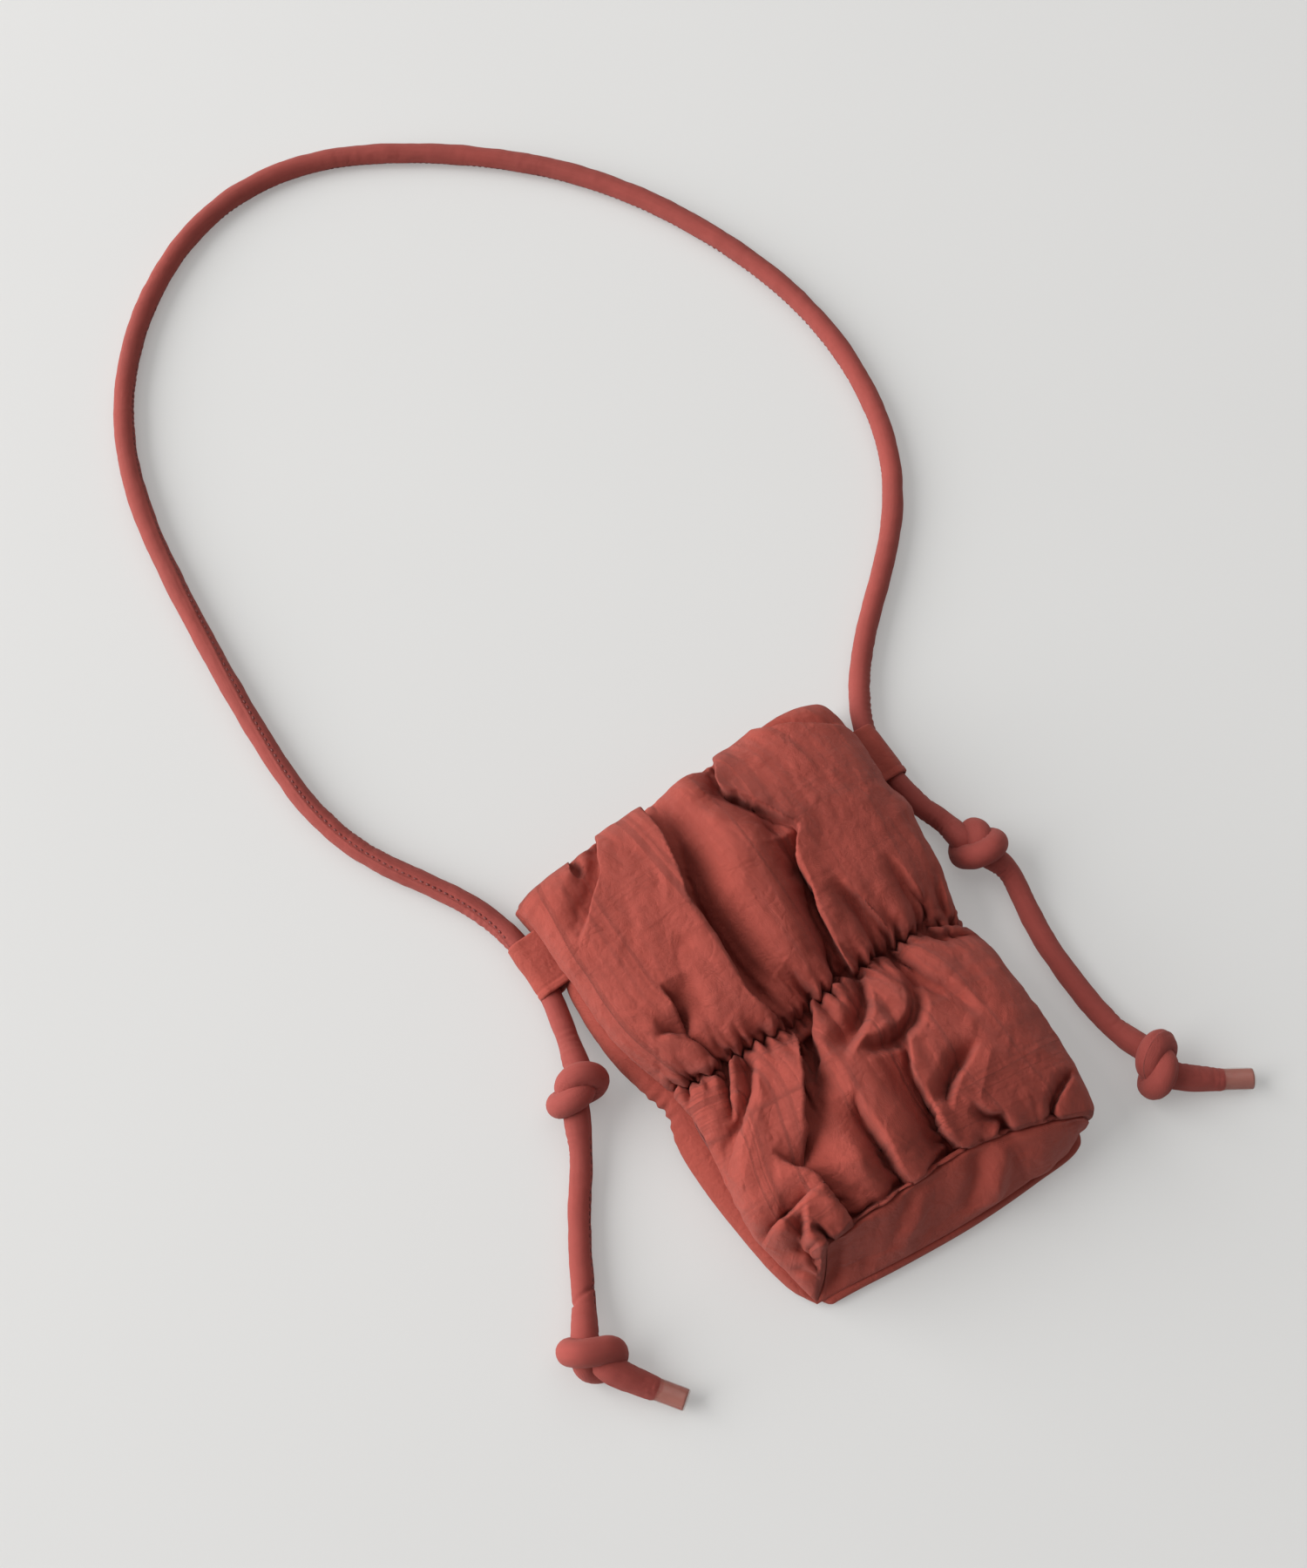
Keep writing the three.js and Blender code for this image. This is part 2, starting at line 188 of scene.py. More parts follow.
# Gussets: place of their waist, waves there (height, waves per length, reach)
GUSSET_WAIST = -1.0
GUSSET_WAVE = (0.6, 1.3, 9.0)

# Folds of the front: plan path, depth along it, side of the sharp lip (1 left of travel, -1 right),
# flat floor beside the lip, reach of the soft side, lean of the lip over the valley, width of the lip
UPPER_FOLDS = [
    ([(-16, 110), (-17, 98), (-18, 85), (-22, 68), (-26, 53), (-26, 39), (-26, 25), (-25, 12), (-22, 5),
      (-18, -5)], (6.0, 8.0, 10.0, 12.5, 13.5, 13.5, 12.5, 10.0, 7.0, 3.0), -1, 6.0, 18.0, 5.5, 4.0),
    ([(21, 110), (20, 99), (16, 89), (20, 81), (23, 74), (26, 64), (28, 57), (25, 52), (23, 46), (22, 37),
      (19, 25), (17, 14), (16, 4), (18, -5)],
     (6.0, 8.0, 10.0, 10.5, 10.0, 7.5, 4.5, 7.0, 9.5, 11.0, 11.0, 9.5, 6.5, 3.0), 1, 2.5, 13.0, 4.8, 3.8),
    ([(-36, 110), (-37, 99), (-41, 91), (-45, 84), (-56, 74), (-66, 65)], (4.0, 6.0, 6.0, 5.0, 3.5, 0.0),
     1, 2.0, 10.0, 2.0, 3.5),
    ([(-49, 110), (-50.5, 98), (-52, 92), (-50, 88)], (3.5, 4.0, 3.5, 0.0), -1, 0.5, 5.0, 1.2, 2.4),
    ([(34, 110), (40, 104), (44, 101), (52, 97), (60, 92), (68, 87), (74, 84)],
     (2.0, 3.0, 3.0, 2.6, 2.4, 2.0, 0.0), -1, 1.0, 7.0, 1.2, 2.6),
    ([(-48, 35), (-49, 27), (-50, 20), (-50, 13)], (0.0, 4.2, 4.2, 0.0), -1, 2.0, 11.0, 1.8, 2.6),
    ([(-60, 22), (-54, 18), (-49, 11), (-46, -2)], (0.0, 3.5, 3.5, 2.5), -1, 1.0, 8.0, 0.5, 4.0),
    ([(28, 34), (31, 20), (34, 8), (37, -4)], (0.0, 3.0, 3.5, 2.5), 1, 1.0, 9.0, 0.8, 4.0),
    ([(50, 32), (52, 16), (53, 6), (52, -3)], (0.0, 3.0, 3.5, 2.5), 1, 1.0, 9.0, 0.8, 3.5),
    ([(66, 20), (62, 9), (58, -3)], (0.0, 2.5, 2.0), 1, 0.5, 7.0, 0.5, 3.5),
    ([(-6, 20), (-4, 8), (-3, -3)], (0.0, 3.0, 2.5), 1, 0.5, 7.0, 0.5, 3.5),
    ([(5, 17), (8, 6), (8, -3)], (0.0, 2.5, 2.5), -1, 0.5, 7.0, 0.5, 3.5),
]
# Ridges of the front: plan path, height, half width
UPPER_RIDGES = [
    ([(-71, 96), (-69, 84), (-69, 70), (-72, 60)], 2.0, 4.0),
    ([(7, 92), (11, 83), (17, 72), (26, 60)], 3.2, 5.0),
    ([(2, 60), (-2, 40), (0, 22)], 2.0, 10.0),
]
LOWER_FOLDS = [
    ([(-14, 3), (-18, -6), (-21, -13), (-26, -22), (-30, -29), (-34, -36), (-38, -44), (-42, -52)],
     (3.0, 8.0, 10.5, 11.0, 10.0, 8.0, 5.0, 0.0), -1, 3.5, 16.0, 4.5, 3.4),
    ([(-48, -40), (-45, -49), (-42, -54), (-41, -62), (-40, -70), (-38, -79), (-36, -88)],
     (0.0, 4.0, 5.5, 6.5, 6.5, 6.0, 5.0), -1, 2.0, 14.0, 1.2, 2.8),
    ([(-2, 3), (-5, -5), (-10, -14), (-12, -19), (-15, -24), (-21, -27)], (3.0, 5.0, 5.5, 5.0, 4.0, 0.0),
     1, 1.0, 6.0, 2.0, 3.0),
    ([(-13, -39), (-14, -47), (-14, -58), (-15, -68), (-14, -78), (-13, -88)],
     (0.0, 5.0, 7.5, 7.5, 6.5, 4.5), 1, 1.5, 10.0, 1.2, 3.6),
    ([(31, -12), (29.8, -19), (27.8, -24), (24, -28.4), (18.7, -31.2), (12.4, -32), (6.9, -30.8), (1, -29.7),
      (-3, -28)], (0.0, 3.0, 4.4, 4.8, 4.6, 4.0, 3.2, 2.0, 0.0), 1, 0.8, 3.6, 0.3, 8.0),
    ([(31, 3), (35, -6), (37, -18), (41, -28), (43, -42)], (3.0, 4.5, 4.5, 3.5, 0.0),
     1, 1.0, 11.0, 0.5, 5.0),
    ([(18, -30), (14, -37), (10, -46), (10, -55), (9, -62), (8, -69), (10, -76), (12, -88)],
     (0.0, 4.5, 7.0, 9.0, 9.5, 9.0, 8.0, 6.0), 1, 2.0, 16.0, 2.4, 2.8),
    ([(36, -48), (29, -52), (22, -55), (16, -59), (11, -64)], (0.0, 4.0, 5.5, 5.0, 0.0),
     1, 0.5, 8.0, 0.5, 4.5),
    ([(20, -66), (24, -72), (29, -76), (29, -81), (30, -92)], (0.0, 3.5, 4.5, 4.0, 2.0),
     1, 0.5, 6.0, 1.2, 2.6),
    ([(61, -75), (58, -78), (52, -81), (48, -84), (46, -93)], (0.0, 3.0, 4.0, 4.0, 3.0),
     1, 0.5, 6.0, 1.4, 2.6),
    ([(-42, 3), (-44, -5), (-48, -13), (-54, -23)], (3.5, 5.5, 5.0, 0.0), 1, 0.5, 6.0, 0.8, 3.5),
    ([(-35, -6), (-38, -12), (-44, -20), (-54, -28), (-62, -37), (-68, -47)], (0.0, 3.5, 5.0, 5.0, 4.0, 0.0),
     1, 1.0, 9.0, 0.3, 4.5),
    ([(-71, -65), (-67, -64), (-59, -62), (-51, -61), (-42, -60)], (0.0, 2.6, 4.4, 4.2, 0.0),
     -1, 0.5, 7.5, 0.5, 3.0),
    ([(-50, -62), (-53, -66), (-55, -71), (-54, -76), (-54, -84)], (0.0, 4.2, 5.4, 4.8, 3.0),
     1, 1.0, 7.0, 0.6, 2.4),
    ([(-52, -69), (-50, -72), (-49, -76), (-48, -81), (-47, -88)], (0.0, 3.2, 4.2, 4.0, 3.0),
     1, 0.2, 3.0, 0.8, 2.2),
    ([(-67, -77), (-62, -78), (-57, -80)], (0.0, 2.2, 0.0), 1, 0.5, 3.5, 0.3, 2.4),
    ([(17, 2), (15.5, -5), (13.5, -11.5), (9.5, -17.5), (3, -21.5), (-4, -24.5), (-9, -28)],
     (2.5, 4.5, 6.5, 7.0, 5.5, 3.5, 0.0), 1, 1.0, 8.5, 0.3, 5.0),
    ([(48, 2), (52, -5), (60, -11), (70, -20)], (2.5, 3.0, 2.5, 0.0), 1, 0.5, 7.0, 0.8, 3.0),
]
LOWER_RIDGES = [
    ([(23, -13), (22.5, -18), (21, -22), (18, -24.5), (12.9, -25.6), (7, -26), (1, -25.4)], 1.0, 3.4),
    ([(-17, -25), (-14, -33), (-12, -45), (-13, -53)], 1.4, 7.0),
    ([(-6, -8), (-9, -17), (-12, -25)], 1.6, 4.0),
    ([(-54, -4), (-61, -15), (-69, -29), (-71, -40)], 1.8, 3.5),
    ([(37, -55), (28, -63), (24, -67), (25, -71), (33, -79)], 1.8, 3.6),
    ([(-38, -14), (-41, -23), (-49, -30), (-57, -38), (-64, -45)], 1.8, 3.6),
    ([(-61, -65), (-52, -64), (-47, -65), (-43, -68)], 1.2, 2.6),
]
# Bottom panel: how far its middle is pushed out and its left and right ends are drawn in, height of its
# waves, flat size, then its soft folds: path on the flat panel, height along the path, half width
BOTTOM_SWELL = 2.6
BOTTOM_SINKS = (1.4, -3.4)
BOTTOM_WAVE = 0.9
BOTTOM_LONG = 116.0
BOTTOM_WIDE = 35.0
BOTTOM_FOLDS = [
    ([(74, 34), (73, 31), (67, 19), (64, 11), (62, 5)], (0.8, 2.2, 2.4, 1.8, 0.0), 4.4),
    ([(42, 33), (39, 28), (35, 22), (32.5, 15), (32, 9)], (0.4, 0.8, 1.0, 0.7, 0.0), 3.6),
]
# Gathered waist: step, depth, length and width of the small pleats, then of the long ones
LOWER_PLEATS = ((4.8, 3.2, 8.0, 1.1), (13.0, 3.0, 20.0, 2.6))
UPPER_PLEATS = ((2.7, 2.8, 4.5, 0.6), (9.0, 3.2, 12.0, 1.6))
SEAM_PLEATS = ((8.0, 1.4, 6.0, 1.6),)

# Gathers beside the waist: blur and stretch of their noise, its mean, share far away, reach of the rest
GATHER_BLUR = 2.2
GATHER_STRETCH = 5.0
GATHER_MEAN = 0.8
GATHER_FAR = 0.35
GATHER_REACH = 18.0
# Stitched waist line: roll beside it (height, distance, half width), groove (depth, half width),
# uneven teeth (step, least, most, reach), lowest place of the cloth near it
WAIST_ROLL = (0.8, 3.5, 2.2)
WAIST_GROOVE = (1.6, 0.8)
WAIST_TEETH = (2.3, 0.5, 1.9, 3.0)
WAIST_FLOOR = 22.4
WAIST_FLOOR_REACH = 7.0
WAIST_FLOOR_HALF = 56.0
WAIST_BLEND = 2.5
# Spread of the pleats' lean, and of their depth, length, width and step as shares
PLEAT_LEAN = 0.2
PLEAT_DEEP = (0.5, 1.25)
PLEAT_LONG = (0.6, 1.8)
PLEAT_WIDE = (0.75, 1.3)
PLEAT_STEP = (0.55, 1.5)
PLEAT_SEEDS = {"lower": 31, "upper": 47, "seam": 5}

# Cloth relaxation, coarse to fine: grid step, steps, growth, extra growth at the waist, pressure,
# smoothing, ripple
RELAX_LEVELS = ((4, 180, 0.022, 0.10, 0.02, 0.04, 0.4), (2, 60, 0.006, 0.02, 0.01, 0.1, 0.1),
                (1, 24, 0.002, 0.004, 0.004, 0.15, 0.04))
RELAX_DRIFT = 0.85
RELAX_GOAL = 0.008
RELAX_GATHER = 8.0
THREAD_STIFF = 0.9
BIAS_STIFF = 0.35
# Straight creases of the thin cloth: area each one takes, length, half width and height
CREASES = ((420.0, 40.0, 4.5, 0.8), (130.0, 18.0, 2.2, 0.36), (30.0, 8.0, 1.2, 0.2))
# Spread of their turn, shares for their length, width and height, share that stands up, bow, far slope,
# grain added to them, margin without creases
CREASE_TURN = 0.5
CREASE_LONG = (0.5, 1.5)
CREASE_WIDE = (0.6, 1.5)
CREASE_HIGH = (0.4, 1.2)
CREASE_UP_SHARE = 0.65
CREASE_BOW = 0.12
CREASE_SLOPE = 1.8
CREASE_GRAIN = 0.08
CREASE_MARGIN = 2.5
# Strength of the front's creases, how much ridges are sharpened, passes of the blur for that
CRUMPLE = 1.0
SHARPEN = 0.62
SHARPEN_PASSES = 40
# Scale of all the folds' depths, reaches and leans, height where they begin and rise to their full depth,
# scale of the lips' width, swelling behind a lip
FOLD_DEPTH = 1.34
FOLD_REACH = 1.1
FOLD_LEAN = 0.52
FOLD_BASE = 8.0
FOLD_RISE = 20.0
LIP_SHARP = 0.62
LIP_SWELL = 0.12

# Mouth hem and lining
HEM_DEPTH = 15.0
HEM_THICK = (3.0, 4.0)
HEM_BULGE = 1.4
HEM_SMOOTHING = 12
HEM_ROUND_ROWS = 10
HEM_FLAT_ROWS = 7
OPENING_HALF = 66.0
LINING_ROWS = 40
LINING_GAP = 9.0
LINING_FLOOR = 9.8
LINING_MIDDLE = 13.0
LINING_CEILING = 19.0
LINING_END = -80.0
LINING_WAVE = 0.35

# Strap tabs: section across the bag, from the side seam out and round the cord
TAB_SPAN = (61.0, 86.0)
TAB_CENTRE = (82.5, 6.3)
TAB_RADIUS = 5.4
TAB_THICK = 1.2
TAB_HEM = 3.0
TAB_HEM_RISE = 0.22
TAB_EDGE = 0.6
TAB_WAVE = 0.22
TAB_LOWEST = 0.15
TAB_TOP = [(72.0, 12.9), (75.5, 12.7), (79.0, 12.3)]
TAB_UNDER = [(78.4, 2.6), (77.0, 6.0), (75.8, 9.4), (72.0, 11.6)]
TAB_POINTS = 96
TAB_COLS = 52

# Knots: points, steps, spare cord in diameters, squeeze of touching turns, smoothing, push apart,
# distance along the cord that counts as another turn, in diameters, share of the steps when the far end
# starts to swing round and how long it takes, points eased at each end, lift off the floor, swelling
KNOT_POINTS = 100
KNOT_STEPS = 1200
KNOT_SLACK = 6.4
KNOT_CONTACT = 0.68
KNOT_SMOOTH = 0.12
KNOT_PUSH = 0.25
KNOT_APART = 1.55
KNOT_SWING = (0.45, 0.4)
KNOT_EASE = 12
KNOT_LIFT = 0.1
KNOT_FATTER = 0.17
# Cords between the knots and in the loop
TAIL_SMOOTHING = 40
TAIL_SMOOTH_ALL = 4
TAIL_NODES = ("tail_upper", "upper_knot", "tail_lower", "lower_knot", "tail_end")
TAB_HEARTS_M = ((-0.0825, 0.0775, 0.0063), (0.0825, 0.0775, 0.0063))
LOOP_POINTS = 1200
LOOP_SMOOTHING = 500

# Cord cover: place of its stitched seam as distance along and angle from the upper side, then its relief
LOOP_SEAM = [(0.0, -0.85), (20.0, -0.44), (140.0, 0.2), (275.0, 1.1), (450.0, 2.0)]
TAIL_SEAM = [(0.0, 2.0), (400.0, 2.0)]
SEAM_CROWDING = 0.55
COVER_INSET = 0.12
LAP_HEIGHT = 0.22
LAP_SOFT = 0.9
LAP_SHARP = 0.07
DENT_DEPTH = 0.28
DENT_WIDTH = 0.11
PUCKER_PITCH = 2.9
PUCKER_DEPTH = 0.9
PUCKER_EXTRA = 3.0
PUCKER_MOST = 0.05
PUCKER_STRAY = 1.3
COVER_GRAIN = 0.04
COVER_WAVE = 0.09
JOIN_TILT = 3.3
JOIN_RISE = 0.2
JOIN_DEPTH = 0.85
STITCH_MARGIN = 14.0
STITCH_SIDES = 6
# Stitch: places along it in lengths, thickness there, height over the cover
STITCH_RINGS = ((-0.5, 0.35, -0.25), (-0.3, 1.0, 0.02), (0.3, 1.0, 0.02), (0.5, 0.35, -0.25))
CORE_SHARE = 0.74

# Clear sleeves: profile as distance past the cord's end and height over the held cord
SLEEVE_LENGTH = 11.5
SLEEVE_TAPER = 0.11
SLEEVE_PROFILE = [(-SLEEVE_LENGTH, 0.15), (-SLEEVE_LENGTH - 0.1, 0.4), (-SLEEVE_LENGTH + 1.5, 0.42),
                  (-6.0, 0.36), (-1.0, 0.34), (0.2, 0.2), (0.6, -0.25), (0.5, -0.6), (0.25, -0.55),
                  (0.15, -0.1), (-0.5, 0.08), (-6.0, 0.1)]
SLEEVE_SIDES = 48
SLEEVE_RIPPLE = 0.07
SLEEVE_RIM = -0.6

# Stage
FLOOR_HALF = 4000.0
FLOOR_COLOUR = (0.42, 0.417, 0.41)
FLOOR_GLOW = 0.25
GLOW_COLOUR = (1, 0.995, 0.98, 1)
WORLD_COLOUR = (1, 0.995, 0.985, 1)
WORLD_STRENGTH = 0.22
# Lights: way to the light (right in the picture, up in it, up off the floor), distance and size in
# metres, power
LIGHTS = {
    "key": ((-1.0, 0.05, 0.42), 4.2, 5.4, 420),
    "fill": ((0.0, 0.5, 1.0), 3.0, 4.0, 30),
}

# Materials: pitches and depths in metres, scales per metre
SHEEN_TINT = (1.0, 0.62, 0.55, 1)
SLUB_SCALE = (900.0, 45.0, 1.0)
KNIT_RIB_M = 0.0013
KNIT_LOOP_M = 0.0009

rng = np.random.default_rng(SEED)


# Curves

def run_along(points):
    """Distance along a line at each of its points."""
    return np.concatenate([[0.0], np.cumsum(np.linalg.norm(np.diff(points, axis=0), axis=1))])


def resample(points, count):
    run = run_along(points)
    at = np.linspace(0.0, run[-1], count)
    return np.stack([np.interp(at, run, column) for column in points.T], 1)


def mix(p, q, t, start, stop):
    return (stop - t) / (stop - start) * p + (t - start) / (stop - start) * q


def spline(points, count):
    """Smooth curve through the points, as count points an equal distance apart."""
    pts = np.asarray(points, float)
    ends = np.vstack([2 * pts[0] - pts[1], pts, 2 * pts[-1] - pts[-2]])
    knots = np.concatenate([[0.0], np.cumsum(np.sqrt(np.linalg.norm(np.diff(ends, axis=0), axis=1)))])
    dense = []
    for i in range(1, len(ends) - 2):
        t = np.linspace(knots[i], knots[i + 1], SPLINE_STEPS, endpoint=False)[:, None]
        t0, t1, t2, t3 = knots[i - 1:i + 3]
        p0, p1, p2, p3 = ends[i - 1:i + 3]
        a1, a2, a3 = mix(p0, p1, t, t0, t1), mix(p1, p2, t, t1, t2), mix(p2, p3, t, t2, t3)
        dense.append(mix(mix(a1, a2, t, t0, t2), mix(a2, a3, t, t1, t3), t, t1, t2))
    return resample(np.vstack(dense + [pts[-1:]]), count)


def along(points, at):
    """Second coordinate of a curve where its first one is at."""
    line = spline(points, 200)
    return np.interp(at, line[:, 0], line[:, 1])


def smoothstep(x):
    x = np.clip(x, 0.0, 1.0)
    return x * x * (3 - 2 * x)


def unit(v):
    v = np.asarray(v, float)
    return v / np.maximum(np.linalg.norm(v, axis=-1, keepdims=True), 1e-12)


def length_of(path):
    return float(np.linalg.norm(np.diff(path, axis=0), axis=1).sum())


def tangents(line):
    return unit(np.gradient(line, axis=0))


def square_to(axis):
    """Two ways square to an axis and to each other, the first one level."""
    side = unit(np.cross((0, 0, 1.0), axis))
    return side, np.cross(axis, side)


def ease(line, weight=1):
    """Smooths a line a little where it lies."""
    line[1:-1] += 0.25 * (line[:-2] + line[2:] - 2 * line[1:-1]) * weight


# Meshes

def link_object(name, data):
    obj = bpy.data.objects.new(name, data)
    bpy.context.scene.collection.objects.link(obj)
    return obj


def make_object(name, vertices, faces, material, uv=None, second=None, second_faces=0):
    """Mesh object; the last second_faces faces take the second material."""
    mesh = bpy.data.meshes.new(name)
    mesh.from_pydata((np.asarray(vertices) * M).tolist(), [], faces)
    if uv is not None:
        layer = mesh.uv_layers.new(name="cloth")
        index = np.empty(len(mesh.loops), int)
        mesh.loops.foreach_get("vertex_index", index)
        layer.data.foreach_set("uv", np.asarray(uv, np.float32)[index].ravel())
    mesh.update()
    mesh.shade_smooth()
    mesh.materials.append(material)
    if second is not None:
        mesh.materials.append(second)
        for polygon in list(mesh.polygons)[-second_faces:]:
            polygon.material_index = 1
    return link_object(name, mesh)


def grid_faces(rows, cols, base=0, flip=False, wrap=False):
    r = np.arange(rows - 1)[:, None]
    c = np.arange(cols if wrap else cols - 1)[None, :]
    a = base + r * cols + c
    b = base + r * cols + (c + 1) % cols
    quads = np.stack([a, b, b + cols, a + cols], -1).reshape(-1, 4)
    if flip:
        quads = quads[:, ::-1]
    return [tuple(q) for q in quads.tolist()]


def cloth_uv(X):
    """Place of each grid point on the flat cloth, in metres."""
    u = np.pad(np.cumsum(span(X[:, 1:], X[:, :-1]), 1), ((0, 0), (1, 0)))
    v = np.pad(np.cumsum(span(X[1:], X[:-1]), 0), ((1, 0), (0, 0)))
    u -= u[:, X.shape[1] // 2][:, None]
    return np.stack([u, v], -1).reshape(-1, 2) * M


def refine(X):
    """Grid with a point added between each two, on a cubic curve."""
    for axis in (0, 1):
        X = np.moveaxis(X, axis, 0)
        padded = np.concatenate([2 * X[:1] - X[1:2], X, 2 * X[-1:] - X[-2:-1]])
        between = (9 * (padded[1:-2] + padded[2:-1]) - padded[:-3] - padded[3:]) / 16
        out = np.empty((2 * len(X) - 1,) + X.shape[1:])
        out[0::2] = X
        out[1::2] = between
        X = np.moveaxis(out, 0, axis)
    return X


def patch_object(name, grids, material, flip=False):
    verts, faces, uvs, base = [], [], [], 0
    for X in grids:
        verts.append(X.reshape(-1, 3))
        uvs.append(cloth_uv(X))
        faces += grid_faces(X.shape[0], X.shape[1], base, flip)
        base += X.shape[0] * X.shape[1]
    return make_object(name, np.vstack(verts), faces, material, np.vstack(uvs))


# Cloth solver: T is the shape aimed at and X the cloth, both grids of points

def normals(X):
    du, dv = np.gradient(X, axis=1), np.gradient(X, axis=0)
    return unit(np.cross(du, dv))


def span(a, b):
    return np.sqrt(((a - b) ** 2).sum(-1))


def project(a, b, wa, wb, rest, stiffness):
    link = b - a
    gap = np.sqrt((link ** 2).sum(-1))
    share = stiffness / np.maximum(wa + wb, 1e-6)
    pull = ((gap - rest) / np.maximum(gap, 1e-6) * share)[..., None] * link
    a += wa[..., None] * pull
    b -= wb[..., None] * pull


def soft_noise(shape, reach, stretch=1.0, turn=0.0):
    """Smooth random field of unit spread; reach is its blur in cells, stretched along the turned columns."""
    fy, fx = np.fft.fftfreq(shape[0])[:, None], np.fft.rfftfreq(shape[1])[None, :]
    along_x, along_y = math.cos(turn) * fx + math.sin(turn) * fy, math.cos(turn) * fy - math.sin(turn) * fx
    blur = np.exp(-2 * (math.pi * reach) ** 2 * (along_x ** 2 + (stretch * along_y) ** 2))
    noise = np.fft.irfft2(np.fft.rfft2(rng.standard_normal(shape)) * blur, shape)
    return (noise - noise.mean()) / noise.std()


def neighbours(X):
    """Mean of the four points beside each inner point of a grid."""
    return 0.25 * (X[2:, 1:-1] + X[:-2, 1:-1] + X[1:-1, 2:] + X[1:-1, :-2])


def relax(T, grow_u, grow_v, steps, pressure, goal, smooth, ripple, floor=None):
    """Cloth held at its edges: every thread keeps its grown length while the padding presses outwards."""
    free = np.zeros(T.shape[:2])
    free[1:-1, 1:-1] = 1
    grow_u, grow_v = np.broadcast_to(grow_u, free.shape), np.broadcast_to(grow_v, free.shape)
    X = T + (ripple * soft_noise(free.shape, 1.6, 3.0) * free)[..., None] * normals(T)
    across = span(T[:, 1:], T[:, :-1]) * 0.5 * (grow_u[:, 1:] + grow_u[:, :-1])
    down = span(T[1:], T[:-1]) * 0.5 * (grow_v[1:] + grow_v[:-1])
    grow = 0.5 * (grow_u + grow_v)[1:, 1:]
    bias = span(T[1:, 1:], T[:-1, :-1]) * grow
    cross = span(T[1:, :-1], T[:-1, 1:]) * grow
    last = X.copy()
    for _ in range(steps):
        drift = RELAX_DRIFT * (X - last)
        last = X.copy()
        X = X + free[..., None] * (drift + pressure * normals(X) + goal * (T - X))
        for o in (0, 1):
            near, far = slice(o, -1, 2), slice(o + 1, None, 2)
            for a, b, rest, stiffness in (
                    ((slice(None), near), (slice(None), far), across[:, o::2], THREAD_STIFF),
                    ((near,), (far,), down[o::2], THREAD_STIFF),
                    ((near, slice(None, -1)), (far, slice(1, None)), bias[o::2], BIAS_STIFF),
                    ((near, slice(1, None)), (far, slice(None, -1)), cross[o::2], BIAS_STIFF)):
                project(X[a], X[b], free[a], free[b], rest, stiffness)
        D = X - T
        bend = np.zeros_like(D)
        bend[1:-1, 1:-1] = neighbours(D) - D[1:-1, 1:-1]
        X += smooth * free[..., None] * bend
        if floor is not None:
            X[..., 2] = np.maximum(X[..., 2], floor)
    return X


def edge_fade(shape, sides, bottom, top):
    """0 at the grid's edges and 1 inside, each edge over its own count of cells; 0 leaves an edge at 1."""
    fade = np.ones(shape)
    col, row = np.arange(shape[1])[None, :], np.arange(shape[0])[:, None]
    if sides:
        fade = fade * smoothstep(np.minimum(col, shape[1] - 1 - col) / sides)
    if bottom:
        fade = fade * smoothstep(row / bottom)
    if top:
        fade = fade * smoothstep((shape[0] - 1 - row) / top)
    return fade


def sharpen(X, amount, passes):
    """Draws ridges and creases crisper: every point moves away from its blurred place."""
    blurred = X.copy()
    for _ in range(passes):
        blurred[1:-1, 1:-1] = neighbours(blurred)
    return X + amount * (X - blurred)


def crumple(X, amount, cell):
    """Fine creases of thin crushed cloth: straight tent-like ridges and valleys of several sizes."""
    size = X.shape[:2]
    lift = np.zeros(size)
    area = (size[0] - 1) * (size[1] - 1) * cell ** 2
    for every, length, width, height in CREASES:
        for _ in range(int(area / every)):
            middle = X[rng.integers(size[0]), rng.integers(size[1])]
            turn = rng.normal(0, CREASE_TURN)
            half = 0.5 * length * rng.uniform(*CREASE_LONG)
            wide = width * rng.uniform(*CREASE_WIDE)
            high = height * rng.uniform(*CREASE_HIGH) * (1 if rng.random() < CREASE_UP_SHARE else -1)
            off = X - middle
            near = np.nonzero((off ** 2).sum(-1) < (half + wide) ** 2)
            away = off[near]
            across = away[:, 0] * math.cos(turn) + away[:, 1] * math.sin(turn)
            run = away[:, 1] * math.cos(turn) - away[:, 0] * math.sin(turn)
            across = across + CREASE_BOW * run * np.sin(run / half)
            taper = np.clip(1 - (run / half) ** 2, 0, 1) ** 1.5
            side = np.where(across > 0, 1.0, CREASE_SLOPE)
            lift[near] += high * taper * np.clip(1 - np.abs(across) / (wide * side), 0, 1)
    lift = amount * (lift + CREASE_GRAIN * soft_noise(size, 1.2 / cell))
    margin = CREASE_MARGIN / cell
    return X + (lift * edge_fade(size, margin, margin, margin))[..., None] * normals(X)


# Front panel: P is a grid of points that is pressed into shape where it is

def arch(left, right, crown, square, bulge):
    """Section of the front panel from seam to seam, with its two sides bulging past the seams."""
    a = np.linspace(0, math.pi, ARCH_POINTS)
    c = -np.cos(a)
    across = np.sign(c) * np.abs(c) ** (2 / square)
    lift = np.sin(a) ** (2 / square)
    line = left + (right - left) * ((across + 1) / 2)[:, None]
    line[:, 2] += (crown - line[:, 2]) * lift
    reach = bulge * np.where(c < 0, -SIDE_BULGE[0], SIDE_BULGE[1])
    line[:, 0] += reach * (4 * lift * (1 - lift)) ** BULGE_ROUND
    return resample(line, COLS + 1)


def bottom_edge():
    """Front's lower edge: up the left corner seam, along the bottom seam, down the right corner seam."""
    return np.vstack([spline(LEFT_CORNER_SEAM, WALL_COLS + 1),
                      spline(FRONT_BOTTOM_SEAM, COLS - 2 * WALL_COLS + 1)[1:],
                      spline(RIGHT_CORNER_SEAM, WALL_COLS + 1)[1:]])


